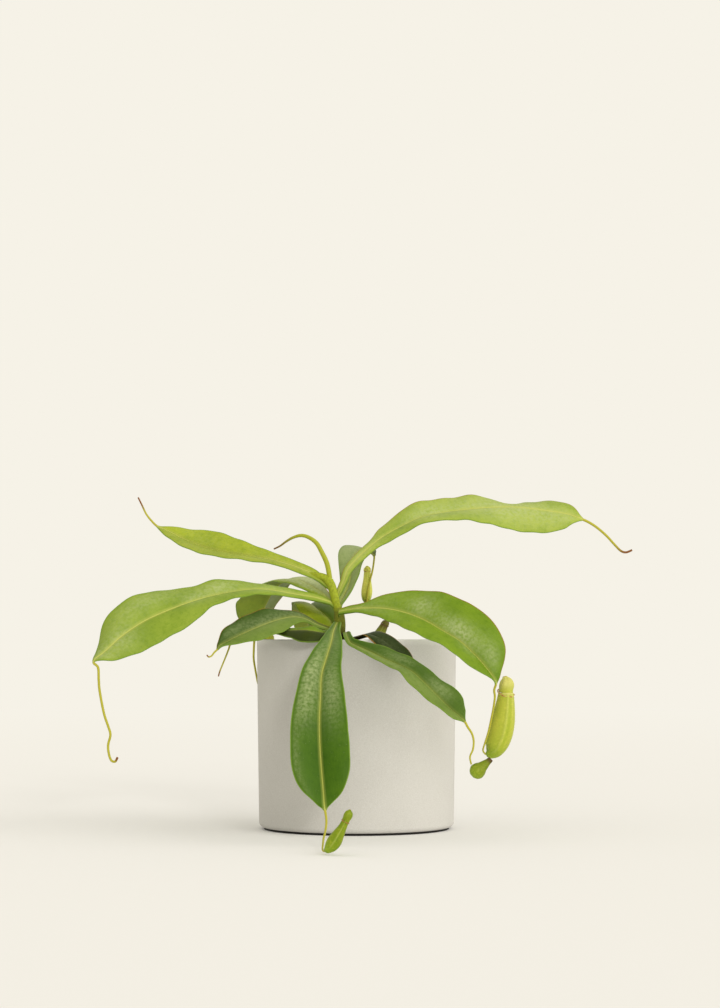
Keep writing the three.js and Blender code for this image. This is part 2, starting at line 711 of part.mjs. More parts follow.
addPiece("pot", potGeometry(), CERAMIC);
addPiece("soil", soilGeometry(), SOIL);
addPiece("stem", sweepGeometry(STEM_ROUTE, STEM_SIDES), STEM);
addPiece("leaf_spear", sweepGeometry(SPEAR_ROUTE, SPEAR_SIDES), LEAF_LIME);
for (const [name, leaf] of Object.entries(LEAVES)) {
  addPiece(name, leafGeometry(leaf), leaf.finish);
}
for (const [name, pitcher] of Object.entries(PITCHERS)) {
  addPiece(name, sweepGeometry(pitcher.route, PITCHER_SIDES), pitcher.finish);
}

export default plant;
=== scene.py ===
"""A young tropical pitcher plant in a plain round pot, built around the packed part.

Lengths in the tables are millimetres in the part's own frame: +Z is up, -Y is the front,
and the origin is the centre of the pot's base. Meshes are made in metres.
"""

import json
import math
import random

import bpy
from mathutils import Euler, Matrix, Vector, noise
from typing import NamedTuple

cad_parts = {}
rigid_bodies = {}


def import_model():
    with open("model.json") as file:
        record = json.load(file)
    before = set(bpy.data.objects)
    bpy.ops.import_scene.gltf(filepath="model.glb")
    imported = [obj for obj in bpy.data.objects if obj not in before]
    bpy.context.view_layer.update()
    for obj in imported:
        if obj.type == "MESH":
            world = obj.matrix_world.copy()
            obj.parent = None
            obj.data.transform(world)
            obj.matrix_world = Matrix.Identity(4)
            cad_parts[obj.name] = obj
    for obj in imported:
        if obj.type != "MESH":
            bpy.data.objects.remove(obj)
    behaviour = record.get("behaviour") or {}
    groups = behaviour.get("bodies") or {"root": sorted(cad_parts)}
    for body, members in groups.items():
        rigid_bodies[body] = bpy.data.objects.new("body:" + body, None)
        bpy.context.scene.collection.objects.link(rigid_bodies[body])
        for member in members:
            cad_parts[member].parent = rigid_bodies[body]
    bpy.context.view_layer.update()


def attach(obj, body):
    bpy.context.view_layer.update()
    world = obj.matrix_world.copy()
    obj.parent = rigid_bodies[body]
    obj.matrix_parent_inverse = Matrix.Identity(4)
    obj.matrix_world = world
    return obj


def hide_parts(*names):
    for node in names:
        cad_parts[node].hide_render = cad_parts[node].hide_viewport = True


bl_info = {
    "name": "Potted Pitcher Plant",
    "version": (1, 0, 0),
    "blender": (4, 5, 0),
    "location": "3D View > Sidebar > Plant",
    "description": "Dresses the solids of a potted pitcher plant with fine leaves and finishes",
    "category": "Object",
}

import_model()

MM = 0.001
UP = Vector((0, 0, 1))

BLADE_STEPS = 8  # rings from one station of a blade to the next
TENDRIL_STEPS = 6  # rings from one station of a tendril to the next
BLADE_BULGE = 0.09  # rise of a half blade between midrib and margin, as a share of its width
STALK_SHARE = 0.22  # share of the blade over which the thick stalk fades out
CLASP = 4.5  # how deep a stalk runs on into the stem
RIB_HALF = 0.7  # half width of the midrib
SWELL_LENGTH = 16  # size of the soft swells of a blade: along, across and up
SWELL_WIDTH = 7
SWELL_HEIGHT = 0.55
SPOT_SOFTNESS = 1.4  # how softly a spot of bloom and painted sheen, or of shade, ends
BRACT_STEPS = 10
BRACT_COLUMNS = 8
BRACT_HALF = 0.25  # half thickness of a bract
WING_TURN = 17  # degrees from the front of a pitcher to each of its two ridges
WIDE_PITCHER = 7.9  # radius of the pitcher whose ridges have their full height
LIP_STEPS = 48
LIP_SIDES = 10
HAIR_HALF = 0.045  # half thickness of a hair at its root
POT_SIDES = 180
SOIL_SIDES = 120
SOIL_RINGS = 36

FLOOR_SIDES = 96
FLOOR_RADIUS = 40  # metres
GLOW_START = 0.4  # metres from the middle where the floor begins to melt into the room's light
GLOW_FULL = 2.6  # metres from the middle where only the room's light is left
GLOW_LEAST = 0.1  # share of the room's light in the floor under the pot
SENSOR_HEIGHT = 36
KEY_TOWARDS = Vector((0.86, -0.46, 0.34))
FRONT_TOWARDS = Vector((0.25, -0.92, 0.3))
DAYLIGHT = (1.0, 0.98, 0.94)


def paint(red, green, blue):
    """A colour given in display values from 0 to 255, as the linear colour that Blender uses."""
    shares = [value / 255 for value in (red, green, blue)]
    return tuple(s / 12.92 if s <= 0.04045 else ((s + 0.055) / 1.055) ** 2.4 for s in shares)


def rgba(colour, light=1.0):
    """A colour for a node's socket, dimmed to a share of its light."""
    return (*(value * light for value in colour), 1.0)


# ---------------------------------------------------------------- leaves
#
# A blade station is (x, y, z, left half width, left tilt, right half width, right tilt).
# Left and right are seen from above, looking from the stem to the tip. A tilt is the angle
# in degrees by which that half rises above the level cross line. A tendril station is
# (x, y, z): the midrib runs on past the tip of the blade.

class Leaf(NamedTuple):
    """One leaf: its record slot, the tones of its two halves, its edges and its stations.

    A spot of bloom and painted sheen, or of shade, is (place along, place across, reach along, reach
    across, strength).
    Along goes from 0 at the stalk to 1 at the tip, across from 1 at the left margin to -1."""

    slot: str
    left_tone: str
    right_tone: str
    blade: tuple
    tendril: tuple
    tendril_radius: tuple = (0.75, 0.5)
    bloom: tuple = ()
    shade: tuple = ()
    left_edge: str = "edge_green"
    right_edge: str = "edge_green"
    brown_tip: float = 0.0
    rib: float = 1.0
    # share of the blade, from the stalk, painted dark as shade where the stalk crosses the rim
    dark_base: float = 0.0


LEAVES = {
    "leaf_upper_left": Leaf(
        slot="leaf_lime",
        left_tone="olive",
        right_tone="lime",
        brown_tip=0.45,
        bloom=(
            (0.25, 0, 0.2, 0.9, 0.25),
            (0.7, -0.3, 0.12, 0.4, 0.2),
        ),
        shade=(
            (0.12, 0, 0.1, 1, 0.2),
        ),
        blade=(
            (-20.1, -22.6, 158.6, 2.2, -25, 2.2, 25),
            (-23.6, -22, 162.3, 3, -40, 3, 40),
            (-30.5, -20, 166.5, 4, -45, 4, 48),
            (-49.5, -14, 173.3, 5.5, -28, 5.5, 45),
            (-68.5, -7, 177, 9, -18, 9, 52),
            (-86, 0, 179.7, 13, -14, 13, 57),
            (-99.5, 6, 183.3, 14, -14, 14, 55),
            (-111.5, 11, 187.9, 11.5, -16, 11.5, 46),
            (-124.5, 16, 194.6, 6, -22, 6, 34),
            (-131.5, 19, 197.6, 1.3, -25, 1.3, 28),
        ),
        tendril=(
            (-136, 21, 201.7), (-139.5, 22, 206.2), (-142, 23, 211.2), (-145, 24, 217.2),
        ),
    ),
    "leaf_long_left": Leaf(
        slot="leaf_light",
        left_tone="light",
        right_tone="light",
        brown_tip=0.1,
        bloom=(
            (0.47, -0.4, 0.05, 0.4, 0.75),
            (0.56, -0.1, 0.04, 0.3, 0.6),
            (0.84, 0.1, 0.06, 0.5, 0.6),
            (0.95, 0, 0.05, 1.2, 0.6),
            (0.7, -0.6, 0.08, 0.3, 0.5),
            (0.28, 0, 0.12, 0.7, 0.4),
        ),
        shade=(
            (0.63, -0.3, 0.05, 0.4, 0.5),
            (0.77, 0.5, 0.05, 0.4, 0.5),
            (0.9, -0.6, 0.06, 0.4, 0.35),
            (0.4, 0.6, 0.06, 0.5, 0.35),
        ),
        blade=(
            (-17, -25.1, 146.7, 2, -50, 2, 55),
            (-26, -27, 149.5, 3, -48, 3, 58),
            (-37, -29, 151.5, 4, -38, 4, 55),
            (-54, -33, 154.4, 6.5, -30, 6.5, 32),
            (-67, -37, 154.8, 9, -22, 9, 34),
            (-83.5, -43, 152.2, 12.5, -18, 12.5, 48),
            (-99, -50, 148.5, 14.5, -26, 14, 35),
            (-113.5, -58, 143.3, 19, -38, 18.5, 40),
            (-131.5, -67, 135.1, 19, -50, 20, 53),
            (-145.5, -75, 125.4, 17, -52, 17.5, 42),
            (-155, -81, 116.3, 11, -48, 8.5, 22),
            (-162, -86, 109.6, 1.3, -30, 1.3, 20),
        ),
        tendril=(
            (-159.4, -85.3, 105.8), (-159, -85, 98.2), (-158.5, -84, 91.2), (-156, -83, 77.7),
            (-153.5, -82, 69.7), (-152, -82, 64.2), (-153.5, -81, 57.8), (-153, -81, 52.3),
            (-151.5, -81, 48.3), (-149, -82, 47.7), (-147.5, -83, 50.2),
        ),
        tendril_radius=(0.8, 0.72),
    ),
    "leaf_back_left": Leaf(
        slot="leaf_green",
        left_tone="fresh",
        # the right half is painted pale: part grey-green bloom, part sheen of light
        right_tone="mist",
        right_edge="edge_red",
        rib=0.6,
        bloom=(
            (0.28, 0, 0.2, 2.5, 1.5),
            (0.55, -0.7, 0.12, 0.4, 0.8),
        ),
        blade=(
            (-16.2, -20.3, 148, 2, -25, 2, 25),
            (-23.5, -12, 153.9, 4.5, -30, 4.5, 30),
            (-31, -2, 158.6, 8, -12, 8, 12),
            (-39, 10, 161.9, 11.5, -8, 11.5, 8),
            (-47.5, 22, 161.7, 14, -5, 14, 8),
            (-54.5, 33, 157.5, 20.5, -4, 15, 12),
            (-59.5, 42, 149.7, 25, -4, 16, 18),
            (-64, 48, 140.8, 22, -8, 13.5, 20),
            (-67.5, 52, 130.9, 11, -5, 9, 18),
            (-69, 54, 122.5, 1.3, -10, 1.3, 10),
        ),
        tendril=(
            (-69.5, 55, 115), (-69.5, 55, 109.5), (-68.5, 55, 103), (-67.5, 55, 97.5),
            (-66.5, 54, 93), (-64.5, 52, 89.9), (-61.5, 50.5, 89.4), (-59.2, 48.8, 92.3),
        ),
    ),
    "leaf_dark_left": Leaf(
        slot="leaf_dark",
        left_tone="dusk",
        right_tone="dark",
        right_edge="edge_red",
        brown_tip=0.3,
        rib=0.5,
        bloom=(
            (0.5, -0.1, 0.14, 0.35, 0.3),
            (0.72, -0.5, 0.1, 0.3, 0.3),
            (0.25, -0.5, 0.12, 0.5, 0.35),
        ),
        shade=(
            (0.4, -0.6, 0.1, 0.3, 0.3),
        ),
        blade=(
            (-14.3, -25.65, 128.5, 1.8, -45, 1.8, 50),
            (-24.5, -31, 131.9, 2.6, -45, 2.6, 55),
            (-33.5, -37, 136.3, 4.5, -35, 4.5, 50),
            (-41.5, -42, 137.2, 7.5, -30, 7.5, 38),
            (-51, -49, 135, 12, -30, 12, 43),
            (-60.5, -56, 131.4, 13.5, -26, 13.5, 36),
            (-70, -62, 127.2, 12.5, -25, 12.5, 35),
            (-79, -67, 122.6, 9, -15, 9, 38),
            (-84.5, -70, 119.5, 3.5, -10, 3.5, 25),
            (-86.5, -71, 117, 1.2, -10, 1.2, 15),
        ),
        tendril=(
            (-88.5, -72, 115), (-90, -72.5, 113), (-91.8, -73, 112.2), (-93, -73.5, 113.4),
        ),
        tendril_radius=(0.6, 0.42),
    ),
    "leaf_back": Leaf(
        slot="leaf_green",
        left_tone="lime",
        right_tone="moss",
        rib=0.5,
        shade=(
            (0.1, 0.1, 0.12, 0.5, 0.5),
            (0.3, -0.5, 0.15, 0.5, 0.3),
        ),
        blade=(
            (-13.85, -19.2, 129.6, 2.2, -5, 1.8, 20),
            (-16.5, -13, 134.4, 9.5, -22, 5, 12),
            (-22, -4, 140.1, 13, -8, 9, 10),
            (-26.5, 8, 143.9, 13.5, 2, 11.5, 12),
            (-30, 24, 146.2, 13, 5, 12.5, 12),
            (-31.5, 42, 145.7, 12, 0, 13, 10),
            (-32.5, 60, 142.1, 11.5, -5, 12.5, 5),
            (-33.5, 75, 135, 10, -5, 11, 5),
            (-33.5, 86, 125.2, 6.5, 0, 7, 5),
            (-33.5, 92, 117.9, 1.3, 0, 1.3, 0),
        ),
        tendril=(
            (-33, 94, 111.4), (-30.5, 96, 104), (-24, 97, 97), (-15.5, 97, 92.5), (-6.5, 95, 92.4),
            (0.5, 92, 95.9), (5.2, 86.7, 102.9),
        ),
    ),
    "leaf_low_left": Leaf(
        slot="leaf_deep",
        left_tone="umber",
        right_tone="moss",
        right_edge="edge_red",
        brown_tip=0.3,
        rib=0.25,
        shade=(
            (0.1, 0, 0.12, 2, 0.6),
            (0.45, 1, 0.2, 0.6, 0.5),
        ),
        blade=(
            (-13.6, -26.4, 123.5, 1.8, -20, 1.8, 25),
            (-16.5, -42, 126.2, 3.2, -12, 4, 25),
            (-19.5, -54, 126.9, 4, -10, 5, 25),
            (-24.5, -62.5, 128, 8, -45, 5.5, 35),
            (-31, -64.5, 129, 9.5, -55, 5, 30),
            (-38, -59, 129, 7, -45, 4.6, 16),
            (-45, -52, 128.8, 6, -30, 5.5, 14),
            (-54, -47.5, 128.8, 7.5, -18, 7.5, 22),
            (-63, -45, 127.6, 8, -15, 8, 28),
            (-72, -43.5, 124.2, 5.5, -20, 5.5, 33),
            (-79.5, -43, 120.2, 1.2, -25, 1.2, 25),
        ),
        tendril=(
            (-81, -43.5, 117.1), (-82.5, -44, 113.1), (-84.5, -44.5, 108.1), (-86.5, -45, 103.1),
            (-87.5, -45, 99.6),
        ),
        tendril_radius=(0.6, 0.42),
    ),
    "leaf_front": Leaf(
        slot="leaf_green",
        left_tone="grass",
        right_tone="grass",
        left_edge="edge_pale",
        right_edge="edge_pale",
        bloom=(
            (0.42, -0.5, 0.09, 0.35, 0.85),
            (0.53, -0.6, 0.06, 0.3, 0.5),
            (0.48, 0.5, 0.09, 0.35, 0.6),
            (0.72, -0.9, 0.14, 0.15, 0.35),
            (0.25, 0, 0.12, 1, 0.3),
        ),
        shade=(
            (0.7, -0.2, 0.16, 0.5, 0.5),
            (0.7, 0.3, 0.16, 0.5, 0.45),
        ),
        blade=(
            (-12.2, -26.9, 133.3, 2.6, 10, 2.6, 10),
            (-13.5, -44, 130.1, 3.4, 10, 3.4, 5),
            (-14.5, -61, 127.2, 4.6, 10, 4.6, 5),
            (-15.5, -77, 121.4, 7, 12, 7, 12),
            (-18, -92, 112.5, 10, 15, 10, 14),
            (-21, -105, 101.2, 12.8, 15, 12.8, 12),
            (-21.5, -116, 88.4, 15.3, 15, 15.3, 10),
            (-22, -125.5, 73.7, 17.4, 12, 17.4, 15),
            (-21.5, -132.5, 58, 18.2, 12, 18.2, 15),
            (-20.5, -136.5, 44.9, 17.6, 12, 17.6, 14),
            (-19.5, -139, 33.4, 12.8, 8, 12.8, 18),
            (-19, -140.5, 26.3, 5.5, 0, 5.5, 20),
            (-18.5, -141, 22.3, 1.3, 0, 1.3, 10),
        ),
        tendril=(
            (-17.7, -144.5, 17.8), (-17.6, -149, 14.1), (-18.2, -156, 9.9), (-18.9, -164, 7.3),
            (-19.2, -173, 4.8), (-19.3, -182, 3), (-18.9, -187.6, 2.1), (-17.8, -190.85, 2.1),
        ),
    ),
    "leaf_low_right": Leaf(
        slot="leaf_dark",
        left_tone="ivy",
        right_tone="dusk",
        rib=0.4,
        dark_base=0.12,
        bloom=(
            (0.4, -0.6, 0.2, 0.5, 0.3),
            (0.55, 0.5, 0.06, 0.3, 0.3),
            (0.76, 0.4, 0.05, 0.3, 0.45),
        ),
        shade=(
            (0.15, 0, 0.16, 2, 0.85),
            (0.36, 0.5, 0.2, 0.5, 0.8),
            (0.65, 0.4, 0.05, 0.4, 0.75),
            (0.86, 0.6, 0.04, 0.3, 0.35),
        ),
        blade=(
            (-8.05, -26.75, 125.7, 1.8, 20, 1.8, -15),
            (-7, -45, 126.6, 2.2, 25, 1.8, 0),
            (-6.2, -60, 126.8, 2.6, 25, 2.2, 0),
            (-5.6, -67.5, 124.6, 3.2, 30, 2.4, -10),
            (-3.6, -71.5, 120.9, 4.2, 40, 2.4, -20),
            (1, -74, 118.6, 5.2, 40, 2.6, -30),
            (8, -78, 115.6, 7.5, 36, 4, -20),
            (17, -83, 111.2, 9.5, 32, 6, -10),
            (27, -88, 106.8, 10.5, 26, 9.5, 0),
            (35, -92, 102.6, 11, 18, 12, 0),
            (42.5, -95.5, 95.6, 12, 14, 12.5, 0),
            (50.5, -98.5, 87.5, 13.5, 20, 12, 5),
            (57.5, -101, 80.6, 12.5, 24, 10, 8),
            (62.5, -102.5, 76.4, 7.5, 15, 7, 5),
            (66, -103.5, 73.2, 1.5, 0, 1.5, 0),
        ),
        tendril=(
            (68, -104, 69.7), (70.5, -104.5, 65.7), (71.5, -105, 61.2), (71, -105.5, 56.2),
            (69.2, -105.9, 51.7), (70, -106, 47.1),
        ),
    ),
    "leaf_dark_right": Leaf(
        slot="leaf_deep",
        left_tone="deep",
        right_tone="deep",
        left_edge="edge_red",
        right_edge="edge_red",
        brown_tip=0.3,
        rib=0.0,
        dark_base=0.2,
        bloom=(
            (0.5, -0.3, 0.2, 0.5, 0.12),
        ),
        blade=(
            (-5.8, -24.4, 122.5, 1.6, 30, 1.6, -10),
            (3, -42, 124.4, 4, 30, 4.2, 0),
            (10, -59, 125.6, 6.4, 25, 6, 0),
            (16.5, -67, 123, 7, 15, 6, -35),
            (23, -71.5, 117.5, 8.5, 8, 7, -60),
            (29.5, -73.5, 111.4, 7.5, 5, 6.5, -65),
            (34.5, -75, 105.4, 4.2, 0, 4, -60),
            (37.5, -76, 100.4, 1.2, 0, 1.2, -40),
        ),
        tendril=(
            (39, -76.5, 96.9), (40, -77, 92.9),
        ),
        tendril_radius=(0.6, 0.45),
    ),
    "leaf_right": Leaf(
        slot="leaf_green",
        left_tone="green",
        right_tone="green",
        left_edge="edge_red",
        bloom=(
            (0.42, 0.35, 0.045, 0.3, 0.7),
            (0.6, 0.2, 0.08, 0.22, 1.0),
            (0.77, 0.4, 0.07, 0.25, 0.6),
            (0.16, 0, 0.14, 1.2, 0.35),
            (0.68, -0.25, 0.04, 0.2, 0.4),
        ),
        shade=(
            (0.96, 0, 0.14, 1.4, 0.85),
            (0.68, 0.8, 0.1, 0.3, 0.5),
            (0.5, 0.75, 0.06, 0.3, 0.4),
            (0.82, -0.5, 0.12, 0.5, 0.3),
        ),
        blade=(
            (-11, -28, 140.5, 2.2, 60, 2.2, -45),
            (-4, -31, 141.9, 3.2, 62, 3.2, -40),
            (3.5, -35, 142.9, 4.2, 58, 4.2, -45),
            (18, -41, 142.7, 11.5, 58, 9.5, -38),
            (30.5, -46.5, 140.1, 17.5, 56, 14, -32),
            (42.5, -53, 135.4, 22.5, 60, 17.5, -25),
            (54.5, -59, 128.3, 24.5, 62, 18.5, -18),
            (65, -63.5, 121.7, 24.5, 60, 17.5, -15),
            (75.5, -67.5, 111.6, 21.5, 58, 15, -14),
            (81.5, -69.5, 104.5, 15, 52, 9.5, -12),
            (85.5, -70.5, 99, 6.5, 35, 3, -8),
            (87, -71, 95.5, 1.5, 10, 1.5, -5),
        ),
        tendril=(
            (86, -69.5, 91.5), (86.5, -68, 87.1), (85.5, -67.5, 79.6), (84, -67, 72.1),
            (82.4, -67, 65.1), (80.4, -66.5, 58.6), (79.2, -64.8, 53.8), (80.9, -61.8, 51.2),
        ),
    ),
    "leaf_upright_back": Leaf(
        slot="leaf_dark",
        left_tone="sage",
        right_tone="sage",
        bloom=(
            (0.5, 0, 0.3, 1, 0.35),
        ),
        shade=(
            (0.2, 0, 0.1, 1, 0.2),
        ),
        blade=(
            (-10.9, -19.7, 145.7, 2.2, 30, 2.2, 15),
            (-6.5, -12, 154.4, 4.5, 10, 4.5, 15),
            (-4, -3, 163.1, 7, 5, 7, 22),
            (-2.5, 7, 173.3, 9.5, 5, 9.5, 20),
            (-0.5, 18, 179.1, 11.5, 18, 11.5, 14),
            (2.5, 29, 181.7, 10.8, 22, 10.5, 8),
            (6.5, 38, 181.9, 8, 25, 7.5, 0),
            (10, 44, 181, 4, 25, 3.5, 0),
            (11.8, 47, 179.3, 1.2, 20, 1.2, 0),
        ),
        tendril=(
            (11.6, 45, 175.2), (10.7, 41.6, 169.2), (9.2, 39.8, 163.1), (8, 38.8, 158.1),
            (7.3, 38.3, 152.6), (6.9, 39, 148.1), (6.7, 41, 145.8), (6.6, 43.6, 146.4),
        ),
        tendril_radius=(0.65, 0.5),
    ),
    "leaf_long_right": Leaf(
        slot="leaf_light",
        left_tone="pale",
        right_tone="pale",
        left_edge="edge_red",
        brown_tip=0.5,
        bloom=(
            (0.46, 0, 0.07, 0.5, 0.75),
            (0.68, 0, 0.14, 0.6, 0.9),
            (0.87, -0.3, 0.07, 0.4, 0.55),
            (0.15, 0, 0.12, 1, 0.5),
        ),
        shade=(
            (0.36, -0.2, 0.06, 0.8, 0.7),
            (0.57, -0.6, 0.06, 0.4, 0.45),
            (0.8, 0.7, 0.08, 0.4, 0.4),
        ),
        blade=(
            (-11.6, -20.8, 152.5, 2, 55, 2, -55),
            (-8.2, -20, 160.2, 2.6, 45, 2.6, -48),
            (-5, -18.5, 168.7, 3.4, 38, 3.4, -52),
            (3, -15.5, 177.8, 4.4, 30, 4.4, -46),
            (11.5, -12.5, 185.4, 5.5, 28, 5.5, -40),
            (19, -10, 190.9, 8, 34, 8, -35),
            (30, -6, 197, 10.5, 43, 10, -24),
            (41.5, -2, 202.1, 13, 53, 13, -16),
            (53.5, 2, 205.2, 14, 46, 15, -20),
            (65.5, 6, 207.3, 14.5, 39, 16.5, -25),
            (82.5, 11, 209.4, 14.5, 40, 18, -38),
            (101.5, 15, 210.5, 15, 8, 18.5, -60),
            (115, 17, 209.6, 15, 18, 18.5, -63),
            (126.5, 18.5, 208.1, 14, 32, 17, -64),
            (139, 20, 206.2, 10.5, 48, 12, -60),
            (145.5, 21, 204.2, 6, 54, 5, -58),
            (149.5, 22, 202.7, 1.8, 54, 1.8, -55),
        ),
        tendril=(
            (154, 22.5, 200.7), (159.5, 23, 197.2), (166, 24, 191.7), (171.5, 25, 185.8),
            (175.5, 25, 181.8), (179, 25, 180.8), (183, 25, 182.3),
        ),
        tendril_radius=(0.9, 0.7),
    ),
}

# ---------------------------------------------------------------- round pieces
#
# A station is (x, y, z, radius).

STEM_ROUTE = (
    (-10.6, -23, 89, 3.2),
    (-10.6, -23, 104, 3.3),
    (-10.6, -23, 114.6, 3.4),
    (-10.6, -23, 127.6, 3.5),
    (-11.2, -23, 139.6, 3.3),
    (-13.6, -23, 147.5, 2.5),
    (-15.6, -23, 155.5, 2.2),
    (-16.9, -23, 161.8, 1.9),
)

SPEAR_ROUTE = (
    (-17.1, -23, 162.2, 1.6),
    (-18.9, -23, 171.6, 1.6),
    (-22.2, -22, 179, 1.5),
    (-25.8, -21, 185.2, 1.4),
    (-30.8, -19.5, 188.9, 1.25),
    (-35.8, -18, 190.2, 1.1),
    (-40.8, -16.5, 189, 0.9),
    (-45.1, -15, 186.7, 0.75),
    (-49.5, -13.5, 183.6, 0.6),
    (-53.5, -12, 181.7, 0.5),
)

# Heights between which the skin of the stem turns olive and then lime, and between which its
# rings begin and end.
OLIVE_ZONE = (124, 133)
LIME_ZONE = (139, 147)
RINGS_BEGIN = (114, 118)
RINGS_END = (140, 146)

# Old sheaths that clasp the foot of the stem: turn about the stem in degrees, foot height,
# length, width, and how far the foot and the tip stand from the stem's middle.
BRACTS = (
    (-12, 116.5, 12, 6.5, 6.2, 3.3),
    (75, 117, 11, 6, 4.4, 3.6),
    (205, 117, 9, 6, 4.6, 3.5),
)

# The young sheath that runs from the stem into the stalk of the top leaf.
SHEATH_ROUTE = (
    (-12.6, -23.6, 143.5, 2.3),
    (-13.3, -24, 147, 2.7),
    (-14.7, -24, 153, 2.75),
    (-16.7, -23.6, 158.7, 2.85),
    (-19.9, -22.6, 162.2, 2.7),
    (-25.5, -21.2, 164.2, 2.2),
    (-31.5, -19.7, 165.4, 1.1),
)


class Pitcher(NamedTuple):
    """One pitcher: its record slot, body, lip ring and closed lid, and where its wings face."""

    slot: str
    tone: str
    body: tuple
    lip: tuple = ()
    lid: tuple = ()
    facing: float = -90.0
    hairs: int = 0
    slant: float = 0.15
    mottle: float = 0.4
    dark_top: float = 0.0
    pale_top: float = 0.0


PITCHERS = {
    "pitcher_right": Pitcher(
        slot="pitcher",
        tone="yellow",
        facing=-62,
        hairs=150,
        slant=0.42,
        pale_top=0.8,
        body=(
            (81.6, -61, 51.1, 1.4),
            (83.6, -60.4, 51.7, 3.8),
            (86, -60, 54, 6),
            (88.2, -60, 58.2, 7.4),
            (90.2, -60, 64, 7.9),
            (91.8, -60, 71, 7.6),
            (92.9, -60, 77.8, 6.7),
            (93.6, -60, 84.2, 5.7),
            (93.8, -60, 88.4, 5),
        ),
        lip=(93.8, -60, 89.4, 5.1),
        lid=(
            (93.8, -60, 89.6, 4.4),
            (94, -60, 91.8, 4.5),
            (94.1, -60, 94.4, 4.7),
            (93.8, -60, 97.2, 3.8),
            (93.4, -60, 99.2, 1.8),
        ),
    ),
    "pitcher_upright_back": Pitcher(
        slot="pitcher_olive",
        tone="ripe",
        facing=-70,
        body=(
            (6.6, 44.4, 147.4, 1.2),
            (6.6, 44.2, 149.2, 2.6),
            (6.7, 44, 152.2, 3.5),
            (6.9, 43.8, 155.8, 3.7),
            (7, 43.6, 159.6, 3.2),
            (7.1, 43.5, 163.4, 2.6),
            (7.2, 43.4, 167.2, 2.35),
        ),
        lip=(7.2, 43.4, 168.8, 2.3),
        lid=((7.2, 43.4, 169, 2.5), (7.1, 43.4, 170.6, 2.3), (7, 43.4, 171.8, 1.1)),
    ),
    "pitcher_back_left": Pitcher(
        slot="pitcher",
        tone="yellow",
        facing=-100,
        body=(
            (-59, 48.6, 92.9, 1.3),
            (-58.6, 48.4, 94.9, 3),
            (-58.4, 48, 98.7, 4.6),
            (-58.4, 47.6, 103.9, 5.1),
            (-58.6, 47.2, 109.7, 4.5),
            (-58.9, 47, 115.5, 3.8),
            (-59.1, 47, 120.9, 3.6),
        ),
        lip=(-59.2, 47, 122.8, 3.6),
        lid=((-59.2, 47, 123.2, 3.7), (-59.1, 47, 125.3, 3.4), (-59, 47, 126.5, 1.6)),
    ),
    "pitcher_back": Pitcher(
        slot="pitcher_olive",
        tone="olive_pitcher",
        facing=-80,
        dark_top=0.8,
        body=(
            (5.4, 86.4, 103.2, 1.4),
            (6.2, 85, 105.2, 3),
            (7.6, 83.2, 109.2, 4.6),
            (10.4, 81.6, 115.3, 5.2),
            (13.4, 80.6, 121.7, 4.8),
            (16.2, 80, 127.3, 3.7),
            (18.4, 79.8, 131.5, 2.9),
        ),
        lip=(19.2, 79.8, 133, 2.8),
        lid=((19.4, 79.8, 133.3, 2.8), (20.2, 79.8, 134.9, 2.4), (20.7, 79.8, 135.9, 1.1)),
    ),
    "pitcher_bud_right": Pitcher(
        slot="pitcher_olive",
        tone="olive_pitcher",
        facing=-60,
        dark_top=1.0,
        mottle=0.8,
        body=(
            (70.3, -106, 40.2, 1.5),
            (71.2, -106, 41, 3.5),
            (72.5, -106, 42.1, 4.6),
            (73.6, -106, 43.1, 4.9),
            (75.3, -106, 44.6, 4.4),
            (76.9, -106, 46, 3.3),
            (78.6, -106, 47.5, 2.6),
            (80.1, -106, 48.8, 2),
            (81.3, -106, 49.8, 1.8),
            (82, -106, 50.5, 1.4),
        ),
    ),
    "pitcher_front": Pitcher(
        slot="pitcher",
        tone="leafy_pitcher",
        facing=-75,
        mottle=0.9,
        body=(
            (-17.3, -191.6, 2.3, 1.5),
            (-15.8, -192.4, 3.6, 2.8),
            (-14, -192.8, 5.6, 3.9),
            (-12, -193, 8.5, 4.2),
            (-9.8, -193, 12.3, 3.4),
            (-7.9, -193, 15.6, 2.6),
            (-6.5, -193, 18.4, 2.2),
        ),
        lip=(-6.1, -193, 19.3, 2.3),
        lid=(
            (-6, -193, 19.6, 2.2),
            (-5.5, -193, 20.6, 2.3),
            (-4.7, -193, 22.5, 2.6),
            (-3.9, -193, 24.5, 2.1),
            (-3.5, -193, 25.6, 0.9),
        ),
    ),
}

# Shares of a half blade, from the midrib to the margin, where its surface has points.
HALF_SHARES = (0, 0.035, 0.08, 0.14, 0.22, 0.32, 0.43, 0.54, 0.65, 0.75, 0.84, 0.91, 0.965, 1)

# Leaves and pitchers in front of the pot's right side. The two lamps shine past them, so that
# this side of the pot stays clear of shadows.
OPEN_PIECES = (
    "leaf_low_right",
    "leaf_dark_right",
    "leaf_right",
    "pitcher_right",
    "pitcher_bud_right",
)

# ---------------------------------------------------------------- settings


def length(name, description, millimetres):
    """A size in metres, with its default given in millimetres."""
    return bpy.props.FloatProperty(
        name=name, description=description, default=millimetres * MM, unit="LENGTH", precision=5
    )


def colour(name, description, red, green, blue):
    """A colour, with its default given in display values."""
    tone = paint(red, green, blue)
    return bpy.props.FloatVectorProperty(
        name=name, description=description, default=tone, subtype="COLOR", size=3, min=0, max=1
    )


def share(name, description, default):
    """A share from none to all."""
    return bpy.props.FloatProperty(
        name=name, description=description, default=default, min=0, max=1, subtype="FACTOR"
    )


def amount(name, description, default):
    """A plain number that is never negative."""
    return bpy.props.FloatProperty(name=name, description=description, default=default, min=0)


def angular(name, description, degrees):
    """An angle, with its default given in degrees."""
    return bpy.props.FloatProperty(
        name=name, description=description, default=math.radians(degrees), subtype="ANGLE"
    )


